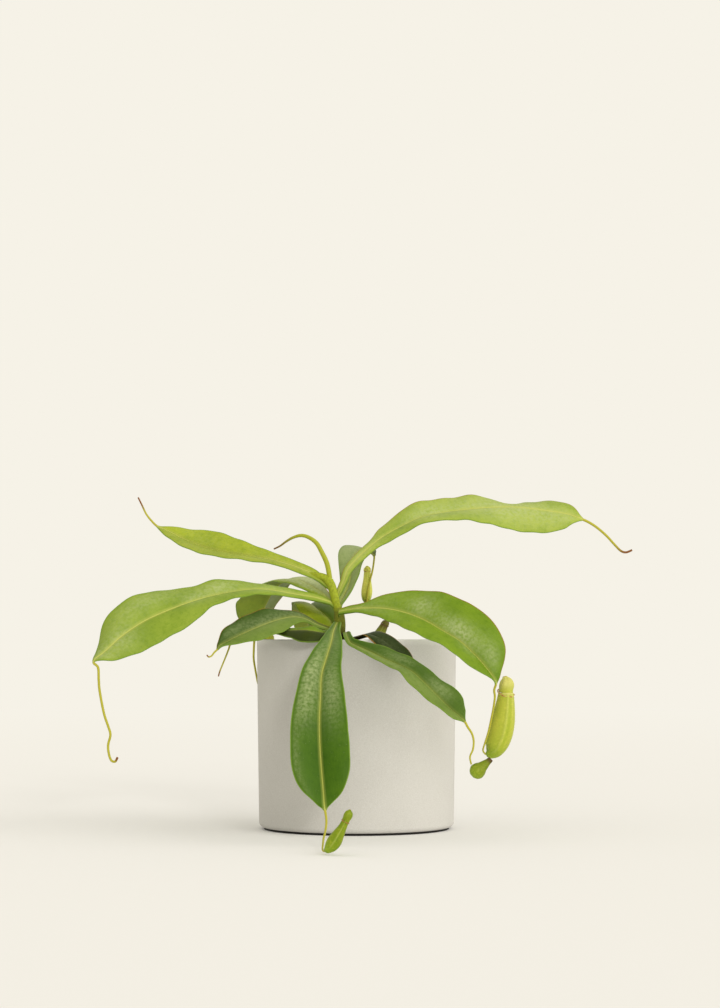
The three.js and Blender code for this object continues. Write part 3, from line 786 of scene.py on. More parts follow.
class PotSettings(bpy.types.PropertyGroup):
    """Sizes and finish of the plain round pot."""

    height: length("Height", "Height of the pot over its base", 123)
    rim_radius: length("Rim radius", "Outer radius at the rim", 65)
    low_radius: length("Low radius", "Outer radius just above the base", 63.4)
    wall: length("Wall", "Thickness of the wall", 5)
    floor: length("Floor", "Thickness of the floor", 8)
    edge_round: length("Edge round", "Radius of the round at the bottom edge", 3.4)
    foot_height: length("Foot height", "Height of the recessed foot", 1.2)
    foot_inset: length("Foot inset", "How far the foot stands back from the wall", 3.2)
    lip_round: length("Lip round", "Radius of the two edges of the rim", 0.6)
    body: colour("Body", "Pale warm grey of the fired clay", 198, 196, 191)
    grain: colour("Grain", "Darker flecks in the clay", 184, 181, 175)
    # Lip: paler clay, for soft random clouds in the body and as a painted highlight on the top of the
    # rim.
    lip: colour("Lip", "Slightly paler rim", 216, 214, 209)
    # Foot: near black, as painted shade in the gap under the pot.
    foot: colour("Foot", "Unglazed foot in the shadow gap", 30, 27, 24)


class SoilSettings(bpy.types.PropertyGroup):
    """The potting mix that fills the pot."""

    top: length("Top", "Height of the soil at the wall", 113)
    mound: length("Mound", "Rise of the soil towards the middle", 2.2)
    gap: length("Gap", "Clearance between the soil and the wall", 0.35)
    chips: bpy.props.IntProperty(
        name="Bark chips", description="Number of bark chips on the soil", default=260, min=0
    )
    earth: colour("Earth", "Moist potting mix", 66, 50, 37)
    bark: colour("Bark", "Bark chips", 118, 86, 58)
    moss: colour("Moss", "Patches of moss", 92, 110, 42)


class StemSettings(bpy.types.PropertyGroup):
    """The short stem, its bracts and the young spear."""

    bark: colour("Old stem", "Dark foot of the stem", 60, 54, 22)
    sheath: colour("Sheath", "Young sheath at the top of the stem", 156, 168, 44)
    bract: colour("Bract", "Bracts that clasp the stem", 136, 138, 44)
    spear: colour("Spear", "Rolled young leaf", 158, 162, 48)
    spear_tip: colour("Spear tip", "Dry tip of the young leaf", 112, 78, 40)


class LeafSettings(bpy.types.PropertyGroup):
    """Build and colours that all the leaves share."""

    half_thickness: length("Half thickness", "Half of the blade's thickness", 0.3)
    margin_half: length("Half margin", "Half of the thickness at the margin", 0.16)
    keel: length("Keel", "How far the midrib stands out below", 0.95)
    groove: length("Groove", "Depth of the furrow over the midrib", 0.35)
    ripple: length("Ripple", "Height of the waves along the margin", 0.35)
    ripple_length: length("Ripple length", "Length of one wave of the margin", 17)
    stalk: length("Stalk", "Extra thickness of the leaf stalk", 0.45)
    brightness: share("Brightness", "Share of the tones that the blades keep", 0.8)
    lime: colour("Lime", "Youngest leaf", 172, 186, 50)
    olive: colour("Olive", "Lower strip of the youngest leaf", 168, 180, 66)
    pale: colour("Pale", "Long leaf that reaches up", 174, 190, 78)
    light: colour("Light", "Long leaf that hangs", 150, 171, 60)
    green: colour("Green", "Full green leaf", 130, 158, 38)
    grass: colour("Grass", "Deep grass green of the front leaf", 80, 116, 20)
    moss: colour("Moss", "Yellow-green in the heart of the plant", 112, 140, 28)
    fresh: colour("Fresh", "Sunlit leaves at the back", 158, 178, 40)
    dark: colour("Dark", "Older leaves", 72, 98, 34)
    umber: colour("Umber", "Brownish half of the low left leaf", 62, 72, 20)
    ivy: colour("Ivy", "Dark glossy half of the low right leaf", 88, 116, 36)
    # Dusk: paler halves of two older leaves. On the dark left leaf this paler half also stands in for
    # painted sheen.
    dusk: colour("Dusk", "Paler halves of the older leaves", 120, 142, 62)
    deep: colour("Deep", "Shaded leaves at the rim", 46, 60, 20)
    # Painted sheen: pale right half of the back left leaf, part its grey-green bloom and part the glare
    # of light on it.
    mist: colour("Mist", "Pale blade close to the stem", 174, 186, 128)
    sage: colour("Sage", "Grey-green leaf", 152, 168, 104)
    rib: colour("Midrib", "Pale midrib", 200, 204, 104)
    tendril: colour("Tendril", "Straw-green tendrils", 190, 184, 66)
    # Pale waxy bloom of the upper face. In the bloom spots it also stands in for painted sheen of
    # light, and it colours the pale specks.
    bloom: colour("Bloom", "Pale bloom on the upper face", 196, 206, 150)
    edge_red: colour("Red margin", "Reddish margin of some leaves", 160, 118, 52)
    edge_green: colour("Green margin", "Plain margin of the leaves", 120, 150, 52)
    edge_pale: colour("Pale margin", "Pale line along the front leaf", 130, 160, 62)
    brown: colour("Brown", "Dry brown ends of tendrils", 128, 84, 48)
    # Painted shade: the stalks of the two low right leaves turn this dark olive where they cross over
    # the rim in shadow.
    old: colour("Old stalk", "Dark stalks of the oldest leaves", 70, 70, 30)
    under: colour("Underside", "Pale matt underside", 150, 170, 104)


class PitcherSettings(bpy.types.PropertyGroup):
    """Colours and small parts of the pitchers."""

    wing: length("Wing height", "Height of the two ridges down the front", 0.55)
    hair: length("Hair length", "Length of the fine hairs", 1.5)
    lip_tube: length("Lip tube", "Radius of the rolled lip", 0.42)
    yellow: colour("Yellow", "Ripe yellow-green pitcher", 172, 177, 60)
    ripe: colour("Ripe", "Paler pitcher behind the plant", 214, 212, 96)
    cream: colour("Cream", "Paler lid of the largest pitcher", 200, 194, 110)
    olive_pitcher: colour("Olive", "Young olive pitcher", 116, 130, 26)
    leafy_pitcher: colour("Leafy", "Small green pitcher", 122, 138, 24)
    base: colour("Base", "Darker green foot of a pitcher", 142, 164, 44)
    lip: colour("Lip", "Reddish rolled lip", 168, 106, 66)
    fleck: colour("Fleck", "Small red-brown flecks", 142, 104, 56)
    ridge: colour("Ridges", "Two paler ridges down the front", 200, 206, 120)
    dark: colour("Dark tip", "Dry brown tip of a bud", 78, 54, 30)
    hair_colour: colour("Hairs", "Fine pale hairs", 200, 190, 130)


class StageSettings(bpy.types.PropertyGroup):
    """Camera, lights and plain stage."""

    camera_distance: length("Camera distance", "Distance in front of the pot's axis", 1568)
    camera_height: length("Camera height", "Height of the lens over the floor", 125)
    camera_side: length("Camera side", "Sideways place of the lens", 2.3)
    tilt: angular("Tilt", "How far the camera looks up", 1.579)
    shift: bpy.props.FloatProperty(
        name="Shift", description="Rise of the lens, in frame heights", default=0.0657
    )
    lens: amount("Focal length", "For a sensor 36 mm high", 85.714)
    room: amount("Room light", "Strength of the even light", 1.0)
    key: amount("Key light", "Strength of the soft light from the right", 1.15)
    fill: amount("Front light", "Strength of the low light from the front", 0.85)
    softness: angular("Key softness", "Width of the key light as seen from the plant", 60)
    fill_softness: angular("Front softness", "Width of the front light as seen from the plant", 9)
    backdrop: colour("Backdrop", "Warm white of the room", 246, 242, 231)
    ground: colour("Floor", "Warm white floor", 231, 230, 228)


GROUPS = {
    "plant_pot": PotSettings,
    "plant_soil": SoilSettings,
    "plant_stem": StemSettings,
    "plant_leaf": LeafSettings,
    "plant_pitcher": PitcherSettings,
    "plant_stage": StageSettings,
}

# ---------------------------------------------------------------- curves and frames


def smooth(low, high, value):
    """A soft step from 0 to 1 as the value goes from low to high."""
    step = min(max((value - low) / (high - low), 0.0), 1.0)
    return step * step * (3 - 2 * step)


def row_at(rows, place):
    """A smooth curve through rows of numbers, column by column."""
    last = len(rows) - 1
    span = min(int(place), last - 1)
    t = place - span
    before, start = rows[max(span - 1, 0)], rows[span]
    stop, after = rows[span + 1], rows[min(span + 2, last)]
    row = []
    for a, b, c, d in zip(before, start, stop, after):
        slope, next_slope, rise = (c - a) / 2, (d - b) / 2, c - b
        square = 3 * rise - 2 * slope - next_slope
        cube = slope + next_slope - 2 * rise
        row.append(b + slope * t + square * t * t + cube * t * t * t)
    return row


def tangent_at(route, place):
    """The direction of a route at a place."""
    reach = 0.05
    ahead = row_at(route, min(place + reach, len(route) - 1))
    behind = row_at(route, max(place - reach, 0))
    return (Vector(ahead[:3]) - Vector(behind[:3])).normalized()


def side_of(tangent, cross):
    """The cross line set square to the tangent."""
    return (cross - tangent * cross.dot(tangent)).normalized()


def around(count, offset=0.0):
    """Cosine and sine of evenly spaced turns, once round."""
    turns = [(step + offset) / count * 2 * math.pi for step in range(count)]
    return [(math.cos(turn), math.sin(turn)) for turn in turns]


def stem_at(height):
    """The middle of the stem at a height."""
    for low, high in zip(STEM_ROUTE, STEM_ROUTE[1:]):
        if height <= high[2]:
            break
    t = min((height - low[2]) / (high[2] - low[2]), 1)
    return Vector(low[:3]).lerp(Vector(high[:3]), t)


# ---------------------------------------------------------------- meshes


class Shell:
    """Points, faces and named point values of one mesh, gathered piece by piece."""

    def __init__(self, *values):
        self.points = []
        self.faces = []
        self.values = {name: [] for name in values}

    def add(self, point, **values):
        """Adds a point with its values, and gives its number."""
        self.points.append(point)
        for name, row in self.values.items():
            row.append(values.get(name, 0.0))
        return len(self.points) - 1

    def skin(self, rings, closed=True):
        """Joins rings of the same number of points into a tube, with or without its two ends."""
        size = len(rings[0])
        for ring, following in zip(rings, rings[1:]):
            for place in range(size):
                step = (place + 1) % size
                self.faces.append((ring[place], ring[step], following[step], following[place]))
        if closed:
            self.faces.append(tuple(reversed(rings[0])))
            self.faces.append(tuple(rings[-1]))

    def build(self, name, sharp=40):
        """Makes the object. Edges over the sharp angle, in degrees, stay crisp."""
        mesh = bpy.data.meshes.new(name)
        mesh.from_pydata([point * MM for point in self.points], [], self.faces)
        for title, row in self.values.items():
            mesh.attributes.new(title, "FLOAT", "POINT").data.foreach_set("value", row)
        mesh.shade_smooth()
        mesh.set_sharp_from_angle(angle=math.radians(sharp))
        piece = bpy.data.objects.new(name, mesh)
        bpy.context.scene.collection.objects.link(piece)
        return piece


def settle(piece, node, material):
    """Lets a piece stand for its CAD node, in its finish."""
    piece.data.materials.append(material)
    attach(piece, "root")
    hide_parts(node)


# ---------------------------------------------------------------- finishes


class Finish:
    """A material's node tree, with short ways to add and join nodes."""

    def __init__(self, name, roughness=0.5, specular=0.5):
        self.material = bpy.data.materials.new(name)
        self.material.use_nodes = True
        self.tree = self.material.node_tree
        self.shader = self.tree.nodes["Principled BSDF"]
        self.shader.inputs["Roughness"].default_value = roughness
        self.shader.inputs["Specular IOR Level"].default_value = specular

    def add(self, kind, sockets=None, **settings):
        """A new node with its sockets fed and its settings made."""
        node = self.tree.nodes.new(kind)
        for name, value in settings.items():
            setattr(node, name, value)
        for name, value in (sockets or {}).items():
            self.feed(node.inputs[name], value)
        return node

    def feed(self, socket, value):
        if isinstance(value, bpy.types.NodeSocket):
            self.tree.links.new(value, socket)
        else:
            socket.default_value = value

    def value(self, name):
        """A named value of the mesh's points."""
        return self.add("ShaderNodeAttribute", attribute_name=name).outputs["Fac"]

    def place(self):
        return self.add("ShaderNodeTexCoord").outputs["Object"]

    def math(self, operation, first, second=0.0):
        return self.add("ShaderNodeMath", {0: first, 1: second}, operation=operation).outputs[0]

    def step(self, value, low, high, start=0.0, stop=1.0):
        """A soft step of a value between two limits."""
        sockets = {"Value": value, "From Min": low, "From Max": high, "To Min": start, "To Max": stop}
        node = self.add("ShaderNodeMapRange", sockets, interpolation_type="SMOOTHSTEP")
        return node.outputs["Result"]

    def mix(self, factor, first, second, blend="MIX"):
        node = self.add("ShaderNodeMix", data_type="RGBA", blend_type=blend)
        for socket, value in ((0, factor), (6, first), (7, second)):
            self.feed(node.inputs[socket], value)
        return node.outputs[2]

    def tint(self, factor, tone, shade):
        """A tone multiplied by a shade, as far as the factor says."""
        return self.mix(factor, tone, self.mix(1.0, tone, (*shade, 1), "MULTIPLY"))

    def noise(self, vector, scale, detail=2.0, roughness=0.5):
        sockets = {"Vector": vector, "Scale": scale, "Detail": detail, "Roughness": roughness}
        return self.add("ShaderNodeTexNoise", sockets).outputs["Fac"]

    def cells(self, vector, scale):
        return self.add("ShaderNodeTexVoronoi", {"Vector": vector, "Scale": scale}).outputs["Distance"]

    def bump(self, height, strength, distance):
        sockets = {"Height": height, "Strength": strength, "Distance": distance}
        self.feed(self.shader.inputs["Normal"], self.add("ShaderNodeBump", sockets).outputs["Normal"])

    def colour(self, value):
        """Feeds the colour, and gives the finished material."""
        self.feed(self.shader.inputs["Base Color"], value)
        return self.material


def pot_finish(pot):
    """Fine-grained matt fired clay, with a painted highlight on the lip and near black painted shade
    under the foot.
    """
    finish = Finish("pot_clay", roughness=0.82, specular=0.25)
    place = finish.place()
    grain = finish.noise(place, 1900, 3, 0.7)
    clouds = finish.noise(place, 14, 3)
    body = finish.mix(finish.step(grain, 0.35, 0.66), rgba(pot.grain), rgba(pot.body))
    body = finish.mix(finish.step(clouds, 0.3, 0.7, 0, 0.25), body, rgba(pot.lip))
    # Painted highlight on the top of the rim, and painted shade on the foot in the gap under the pot.
    body = finish.mix(finish.value("lip"), body, rgba(pot.lip))
    body = finish.mix(finish.value("foot"), body, rgba(pot.foot))
    finish.bump(grain, 0.25, 0.0004)
    return finish.colour(body)


def soil_finish(soil):
    """Moist potting mix with bark chips and patches of moss."""
    finish = Finish("soil_mix", roughness=0.95, specular=0.15)
    place = finish.place()
    crumbs = finish.noise(place, 420, 5, 0.7)
    patches = finish.noise(place, 38, 3)
    earth = finish.mix(finish.step(crumbs, 0.3, 0.7), rgba(soil.earth, 0.45), rgba(soil.earth))
    earth = finish.mix(finish.step(patches, 0.55, 0.66, 0, 0.85), earth, rgba(soil.moss))
    bark = finish.mix(finish.step(crumbs, 0.35, 0.65), rgba(soil.bark, 0.4), rgba(soil.bark))
    finish.bump(crumbs, 0.8, 0.0012)
    return finish.colour(finish.mix(finish.value("chip"), earth, bark))


def stem_finish(stem):
    """Dark foot that turns olive and then into the lime sheath, with bracts."""
    finish = Finish("stem_skin", roughness=0.5, specular=0.1)
    place = finish.place()
    streaks = finish.noise(place, 700, 3)
    skin = finish.mix(finish.value("young"), rgba(stem.bark), rgba(stem.sheath))
    skin = finish.mix(finish.value("bract"), skin, rgba(stem.bract))
    skin = finish.mix(finish.step(streaks, 0.35, 0.75, 0, 0.35), skin, rgba(stem.bark, 0.5))
    finish.bump(streaks, 0.3, 0.0003)
    return finish.colour(skin)


def spear_finish(stem):
    """Rolled young leaf with a dry tip."""
    finish = Finish("spear_skin", roughness=0.42, specular=0.12)
    streaks = finish.noise(finish.place(), 500, 2)
    skin = finish.mix(finish.step(streaks, 0.3, 0.8, 0, 0.3), rgba(stem.spear), rgba(stem.sheath))
    dry = finish.step(finish.value("run"), 0.55, 1)
    return finish.colour(finish.mix(dry, skin, rgba(stem.spear_tip)))


def leaf_finish(name, leaf, look):
    """A leathery leaf: two halves, pale midrib, coloured margins, bloom with painted sheen, veins and
    specks.

    The mesh carries millimetres across from the midrib (left is positive), millimetres in from
    the margin and along from the stalk, the underside, and the share of the tendril."""
    finish = Finish(f"{name}_skin", roughness=0.5, specular=0.1)
    across, run, inset = finish.value("across"), finish.value("run"), finish.value("inset")
    under, tendril = finish.value("under"), finish.value("tendril")
    left = finish.step(across, -0.3, 0.3)
    spread = finish.add("ShaderNodeCombineXYZ", {0: across, 1: run, 2: under}).outputs[0]
    slow_run = finish.math("MULTIPLY", run, 0.14)
    drawn = finish.add("ShaderNodeCombineXYZ", {0: across, 1: slow_run}).outputs[0]

    def tinted(name):
        return rgba(getattr(look, name), look.brightness)

    tone = finish.mix(left, tinted(leaf.right_tone), tinted(leaf.left_tone))
    patches = finish.noise(spread, 0.075, 3)
    tone = finish.tint(finish.step(patches, 0.35, 0.68, 0, 0.5), tone, (0.66, 0.76, 0.5))
    tone = finish.tint(finish.value("shade"), tone, (0.55, 0.68, 0.3))
    grain = finish.step(finish.noise(spread, 1.3, 3, 0.6), 0.35, 0.65, 0, 0.3)
    tone = finish.tint(grain, tone, (0.72, 0.8, 0.55))
    blotches = finish.step(finish.noise(spread, 0.3, 3, 0.6), 0.5, 0.68, 0, 0.45)
    tone = finish.tint(blotches, tone, (0.74, 0.82, 0.55))
    veins = finish.noise(drawn, 1.2, 2, 0.6)
    tone = finish.tint(finish.step(veins, 0.4, 0.7, 0, 0.32), tone, (1.3, 1.22, 1.3))

    # Painted sheen: the bloom spots, broken up by noise and kept off the margins, mix the pale colour
    # into the upper face. Part is real waxy bloom, part stands in for sheen of light.
    sheen_and_bump_noise = finish.noise(spread, 0.5, 3, 0.55)
    bloom_sheen_share = finish.math("MULTIPLY", finish.value("bloom"), finish.step(sheen_and_bump_noise, 0.3, 0.7, 0.3, 1))
    bloom_sheen_share = finish.math("MULTIPLY", bloom_sheen_share, finish.step(inset, 0.3, 3))
    tone = finish.mix(finish.math("MULTIPLY", bloom_sheen_share, 0.75), tone, tinted("bloom"))
    specks = finish.step(finish.cells(spread, 0.75), 0.17, 0.07)
    grains = finish.noise(spread, 0.3, 2)
    specks = finish.math("MULTIPLY", specks, finish.step(grains, 0.45, 0.65, 0, 0.34))
    tone = finish.mix(specks, tone, tinted("bloom"))
    freckles = finish.step(finish.cells(spread, 0.21), 0.05, 0.03, 0, 0.4)
    tone = finish.tint(freckles, tone, (0.4, 0.42, 0.35))

    tone = finish.mix(finish.math("MULTIPLY", under, 0.25), tone, tinted("under"))
    edge = finish.mix(left, tinted(leaf.right_edge), tinted(leaf.left_edge))
    tone = finish.mix(finish.step(inset, 0.8, 0.25, 0, 0.8), tone, edge)
    rib = finish.math("ABSOLUTE", across)
    halo = finish.step(rib, 2.2, 0.6, 0, 0.3 * leaf.rib)
    tone = finish.mix(finish.step(rib, 0.55, 0.22, halo, 0.92 * leaf.rib), tone, tinted("rib"))
    # Painted shade on the base of the stalk, where it crosses over the rim.
    if leaf.dark_base:
        tone = finish.mix(finish.value("old"), tone, tinted("old"))
    tone = finish.mix(finish.step(tendril, 0, 0.03), tone, tinted("tendril"))
    if leaf.brown_tip:
        dry = finish.step(tendril, 1 - leaf.brown_tip, 1 - leaf.brown_tip / 3)
        tone = finish.mix(dry, tone, rgba(look.brown))
    finish.bump(finish.math("ADD", veins, finish.math("MULTIPLY", sheen_and_bump_noise, 0.35)), 0.2, 0.0004)
    finish.feed(finish.shader.inputs["Roughness"], finish.step(bloom_sheen_share, 0, 1, 0.46, 0.7))
    return finish.colour(tone)


def pitcher_finish(name, pitcher, look):
    """Waxy wall with a darker groove between two paler ridges, flecks and a rusty lip."""
    finish = Finish(f"{name}_skin", roughness=0.42, specular=0.15)
    place = finish.place()
    rise, ridge, groove = finish.value("rise"), finish.value("ridge"), finish.value("groove")
    tone = finish.mix(finish.step(rise, 0.0, 0.5), rgba(look.base), rgba(getattr(look, pitcher.tone)))
    clouds = finish.noise(place, 160, 3)
    tone = finish.tint(finish.step(clouds, 0.35, 0.7, 0, pitcher.mottle), tone, (0.74, 0.86, 0.55))
    warts = finish.step(finish.noise(place, 700, 2), 0.5, 0.66, 0, pitcher.mottle)
    tone = finish.tint(warts, tone, (1.35, 1.22, 1.6))
    tone = finish.tint(finish.math("MULTIPLY", groove, 0.5), tone, (0.68, 0.8, 0.45))
    flecks = finish.step(finish.cells(place, 520), 0.2, 0.1, 0, 0.3)
    tone = finish.mix(flecks, tone, rgba(look.fleck))
    tone = finish.mix(finish.math("MULTIPLY", ridge, 0.16), tone, rgba(look.ridge))
    if pitcher.pale_top:
        tone = finish.mix(finish.step(rise, 0.8, 0.9, 0, pitcher.pale_top), tone, rgba(look.cream))
    tone = finish.mix(finish.step(rise, 0.955, 0.99, 0, 0.55), tone, rgba(look.lip))
    rust = finish.step(finish.noise(place, 420, 2), 0.42, 0.62, 0.25, 0.9)
    tone = finish.mix(finish.math("MULTIPLY", finish.value("lip"), rust), tone, rgba(look.lip))
    tone = finish.mix(finish.value("hair"), tone, rgba(look.hair_colour))
    if pitcher.dark_top:
        tone = finish.mix(finish.step(rise, 0.62, 0.9, 0, pitcher.dark_top), tone, rgba(look.dark))
    finish.bump(clouds, 0.2, 0.0004)
    return finish.colour(tone)


# ---------------------------------------------------------------- leaf


def spots(rows, along, across):
    """How strongly a few soft spots cover a place on the blade, from 0 to 1."""
    bare = 1.0
    for place, side, reach, width, strength in rows:
        away = ((along - place) / reach) ** 2 + ((across - side) / width) ** 2
        bare *= 1 - strength * math.exp(-away / SPOT_SOFTNESS)
    return 1 - bare


def blade_ring(shell, row, tangent, cross, along, run, look, seed, leaf):
    """One ring of points round a folded blade: across its top and back along its underside.

    It gives the ring, and the cross line for the tendril that follows."""
    x, y, z, left_width, left_tilt, right_width, right_tilt = row
    side = side_of(tangent, cross)
    up = tangent.cross(side)
    centre = Vector((x, y, z))
    stalk = look.stalk / MM * (1 - smooth(0, STALK_SHARE, along))
    halves = []
    for sign, width, tilt in ((1, left_width, left_tilt), (-1, right_width, right_tilt)):
        angle = math.radians(tilt)
        out = side * (sign * math.cos(angle)) + up * math.sin(angle)
        over = side * (-sign * math.sin(angle)) + up * math.cos(angle)
        halves.append((sign, width, out, over))
    middle = (halves[0][3] + halves[1][3]).normalized()
    ripple_length = look.ripple_length / MM

    def corner(half, share, under):
        sign, width, out, over = half
        wave = math.sin(run / ripple_length * 2 * math.pi + seed + sign)
        wave *= look.ripple / MM * share**3 * smooth(3, 9, width)
        swell = noise.noise(Vector((run / SWELL_LENGTH, sign * share * width / SWELL_WIDTH, seed)))
        swell *= SWELL_HEIGHT * share * smooth(3, 10, width)
        face = over if share > 0.05 else middle
        thick = (look.half_thickness + (look.margin_half - look.half_thickness) * share**3) / MM + stalk
        lift = 4 * BLADE_BULGE * width * share * (1 - share) + wave + swell
        near = math.exp(-((share * width / RIB_HALF) ** 2))
        if under:
            shift = -thick - (look.keel - look.half_thickness) / MM * near
        else:
            shift = thick - look.groove / MM * near * smooth(3, 6, width)
        point = centre + out * (width * share) + over * lift + face * shift
        return shell.add(
            point,
            across=sign * share * width,
            inset=(1 - share) * width,
            run=run,
            under=float(under),
            # bloom with painted sheen, on the upper face only
            bloom=spots(leaf.bloom, along, sign * share) * (not under),
            shade=spots(leaf.shade, along, sign * share),
            # painted shade on the base of the stalk
            old=smooth(leaf.dark_base, leaf.dark_base * 0.75, along) if leaf.dark_base else 0.0,
        )

    left, right = halves
    ring = [corner(left, share, False) for share in reversed(HALF_SHARES)]
    ring += [corner(right, share, False) for share in HALF_SHARES[1:]]
    ring += [corner(right, share, True) for share in reversed(HALF_SHARES)]
    ring += [corner(left, share, True) for share in HALF_SHARES[1:]]
    return ring, (left[2] - right[2]).normalized()


def leaf_piece(name, leaf, look):
    """A whole leaf: stalk, folded blade and the tendril that its midrib runs on into."""
    shell = Shell("across", "inset", "run", "under", "tendril", "bloom", "shade", "old")
    root, tip = leaf.blade[0], leaf.blade[-1]
    heading = Vector((tip[0] - root[0], tip[1] - root[1], 0)).normalized()
    cross = Vector((-heading.y, heading.x, 0))
    route = [row[:3] for row in leaf.blade] + list(leaf.tendril)
    end = len(leaf.blade) - 1
    seed = sum(root[:3]) % 7
    rings, run, last = [], 0.0, Vector(root[:3])
    for step in range(end * BLADE_STEPS + 1):
        place = step / BLADE_STEPS
        here = Vector(row_at(route, place))
        run += (here - last).length
        last = here
        row = list(here) + row_at(leaf.blade, place)[3:]
        tangent = tangent_at(route, place)
        if not rings:
            heart = stem_at(here.z - CLASP)
            for reach, width in ((0.75, 0.5), (0.35, 0.85)):
                inner = list(here.lerp(heart, reach))
                inner += [row[3] * width, row[4], row[5] * width, row[6]]
                aim = (here - heart).normalized().lerp(tangent, 1 - reach)
                ring, _ = blade_ring(shell, inner, aim, cross, 0, -CLASP * reach, look, seed, leaf)
                rings.append(ring)
        ring, line = blade_ring(shell, row, tangent, cross, place / end, run, look, seed, leaf)
        rings.append(ring)
    turns = around(len(rings[0]), 0.5)
    steps = len(leaf.tendril) * TENDRIL_STEPS
    base_radius, tip_radius = leaf.tendril_radius
    for step in range(1, steps + 1):
        place = end + step / TENDRIL_STEPS
        tangent = tangent_at(route, place)
        line = side_of(tangent, line)
        up = tangent.cross(line)
        radius = base_radius + (tip_radius - base_radius) * step / steps
        here = Vector(row_at(route, place))
        run += (here - last).length
        last = here
        ring = []
        for cosine, sine in turns:
            point = here + line * (radius * cosine) + up * (radius * sine)
            ring.append(shell.add(point, inset=9, run=run, tendril=step / steps))
        rings.append(ring)
    shell.skin(rings)
    return shell.build(f"{name}_skin")


# ---------------------------------------------------------------- round pieces


def sweep(shell, route, sides, steps, values, shape=None):
    """A round tube through stations.

    values and shape are called with the way out from the middle line and the run along it,
    from 0 to 1. values gives the point's values, and shape a length to add to the radius."""
    line = Vector((0, 1, 0))
    rings = []
    total = (len(route) - 1) * steps
    for step in range(total + 1):
        place = step / steps
        x, y, z, radius = row_at(route, place)
        tangent = tangent_at(route, place)
        line = side_of(tangent, line)
        up = tangent.cross(line)
        run = step / total
        ring = []
        for cosine, sine in around(sides):
            out = line * cosine + up * sine
            extra = shape(out, run) if shape else 0.0
            point = Vector((x, y, z)) + out * (radius + extra)
            ring.append(shell.add(point, **values(out, run)))
        rings.append(ring)
    shell.skin(rings)


def stem_piece():
    """The ringed stem, the young sheath round its top and the bracts at its foot."""
    shell = Shell("young", "bract")

    def height_at(run):
        return row_at(STEM_ROUTE, run * (len(STEM_ROUTE) - 1))[2]

    def skin(out, run):
        height = height_at(run)
        return {"young": 0.42 * smooth(*OLIVE_ZONE, height) + 0.58 * smooth(*LIME_ZONE, height)}

    def knuckles(out, run):
        height = height_at(run)
        wave = 0.28 * math.sin(height / 3.4)
        return wave * smooth(*RINGS_BEGIN, height) * (1 - smooth(*RINGS_END, height))

    sweep(shell, STEM_ROUTE, sides=28, steps=8, values=skin, shape=knuckles)
    sweep(shell, SHEATH_ROUTE, sides=24, steps=8, values=lambda out, run: {"young": 1.0})
    for row in BRACTS:
        bract(shell, *row)
    return shell.build("stem_skin")


def bract(shell, turn, foot, tall, wide, foot_away, tip_away):
    """A short curved scale that clasps the stem."""
    out = Vector((math.cos(math.radians(turn)), math.sin(math.radians(turn)), 0))
    side = Vector((-out.y, out.x, 0))
    axis = Vector((STEM_ROUTE[3][0], STEM_ROUTE[3][1], foot))
    rings = []
    for step in range(BRACT_STEPS + 1):
        t = step / BRACT_STEPS
        half = wide / 2 * (1 - t**2.2) + 0.12
        away = foot_away + (tip_away - foot_away) * t
        ring = []
        for face, order in ((BRACT_HALF, 1), (-BRACT_HALF, -1)):
            for column in range(BRACT_COLUMNS + 1)[::order]:
                u = column / BRACT_COLUMNS * 2 - 1
                curl = 1.3 * u * u * (1 - t)
                point = axis + UP * (tall * t) + out * (away + face - curl) + side * (half * u)
                ring.append(shell.add(point, bract=1.0))
        rings.append(ring)
    shell.skin(rings)


def spear_piece():
    """The rolled young leaf at the top of the stem."""
    shell = Shell("run")
    sweep(shell, SPEAR_ROUTE, sides=20, steps=8, values=lambda out, run: {"run": run})
    return shell.build("leaf_spear_skin")


def pitcher_piece(name, pitcher, look):
    """A pitcher: swollen body with two ridges, rolled lip, closed lid and fine hairs."""
    shell = Shell("rise", "ridge", "groove", "lip", "hair")
    facing = math.radians(pitcher.facing)
    front = Vector((math.cos(facing), math.sin(facing), 0))
    turns = (-WING_TURN, WING_TURN)
    wings = [Matrix.Rotation(math.radians(turn), 3, "Z") @ front for turn in turns]
    full = max(row[3] for row in pitcher.body)

    def ridge(out, run):
        near = max(out.dot(wing) for wing in wings)
        return smooth(0.985, 0.9995, near) * smooth(0.02, 0.2, run)

    def shape(out, run):
        fade = math.sin(math.pi * min(run * 0.9 + 0.1, 1)) ** 0.5
        return look.wing / MM * full / WIDE_PITCHER * ridge(out, run) * fade

    def marks(out, run):
        groove = smooth(0.975, 0.99, out.dot(front)) * smooth(0.1, 0.4, run)
        return {"rise": run * 0.95, "ridge": ridge(out, run), "groove": groove}

    body = pitcher.body
    if pitcher.lip:
        x, y, z, radius = pitcher.lip
        body += ((x, y, z + 0.3, radius * 0.93),)
    sweep(shell, body, sides=72, steps=6, values=marks, shape=shape)
    if pitcher.lip:
        lip_ring(shell, pitcher, look, front)
        lid_route = list(pitcher.lid)
        x, y, z, radius = lid_route[-1]
        ahead = (Vector(lid_route[-1][:3]) - Vector(lid_route[-2][:3])).normalized()
        for reach, share in ((0.3, 0.75), (0.5, 0.35)):
            tip = Vector((x, y, z)) + ahead * (radius * reach)
            lid_route.append((*tip, radius * share))

        def crumple(out, run):
            turn = math.atan2(out.y, out.x)
            waves = math.sin(3 * turn + 4 * run) + 0.7 * math.sin(7 * turn - 9 * run)
            return pitcher.lid[0][3] * 0.05 * waves * smooth(0, 0.25, run)

        def lid_marks(out, run):
            return {"rise": 0.8 + 0.2 * run}

        sweep(shell, lid_route, sides=40, steps=5, values=lid_marks, shape=crumple)
    scatter = random.Random(len(name))
    for _ in range(pitcher.hairs):
        add_hair(shell, pitcher, look, scatter)
    return shell.build(f"{name}_skin")


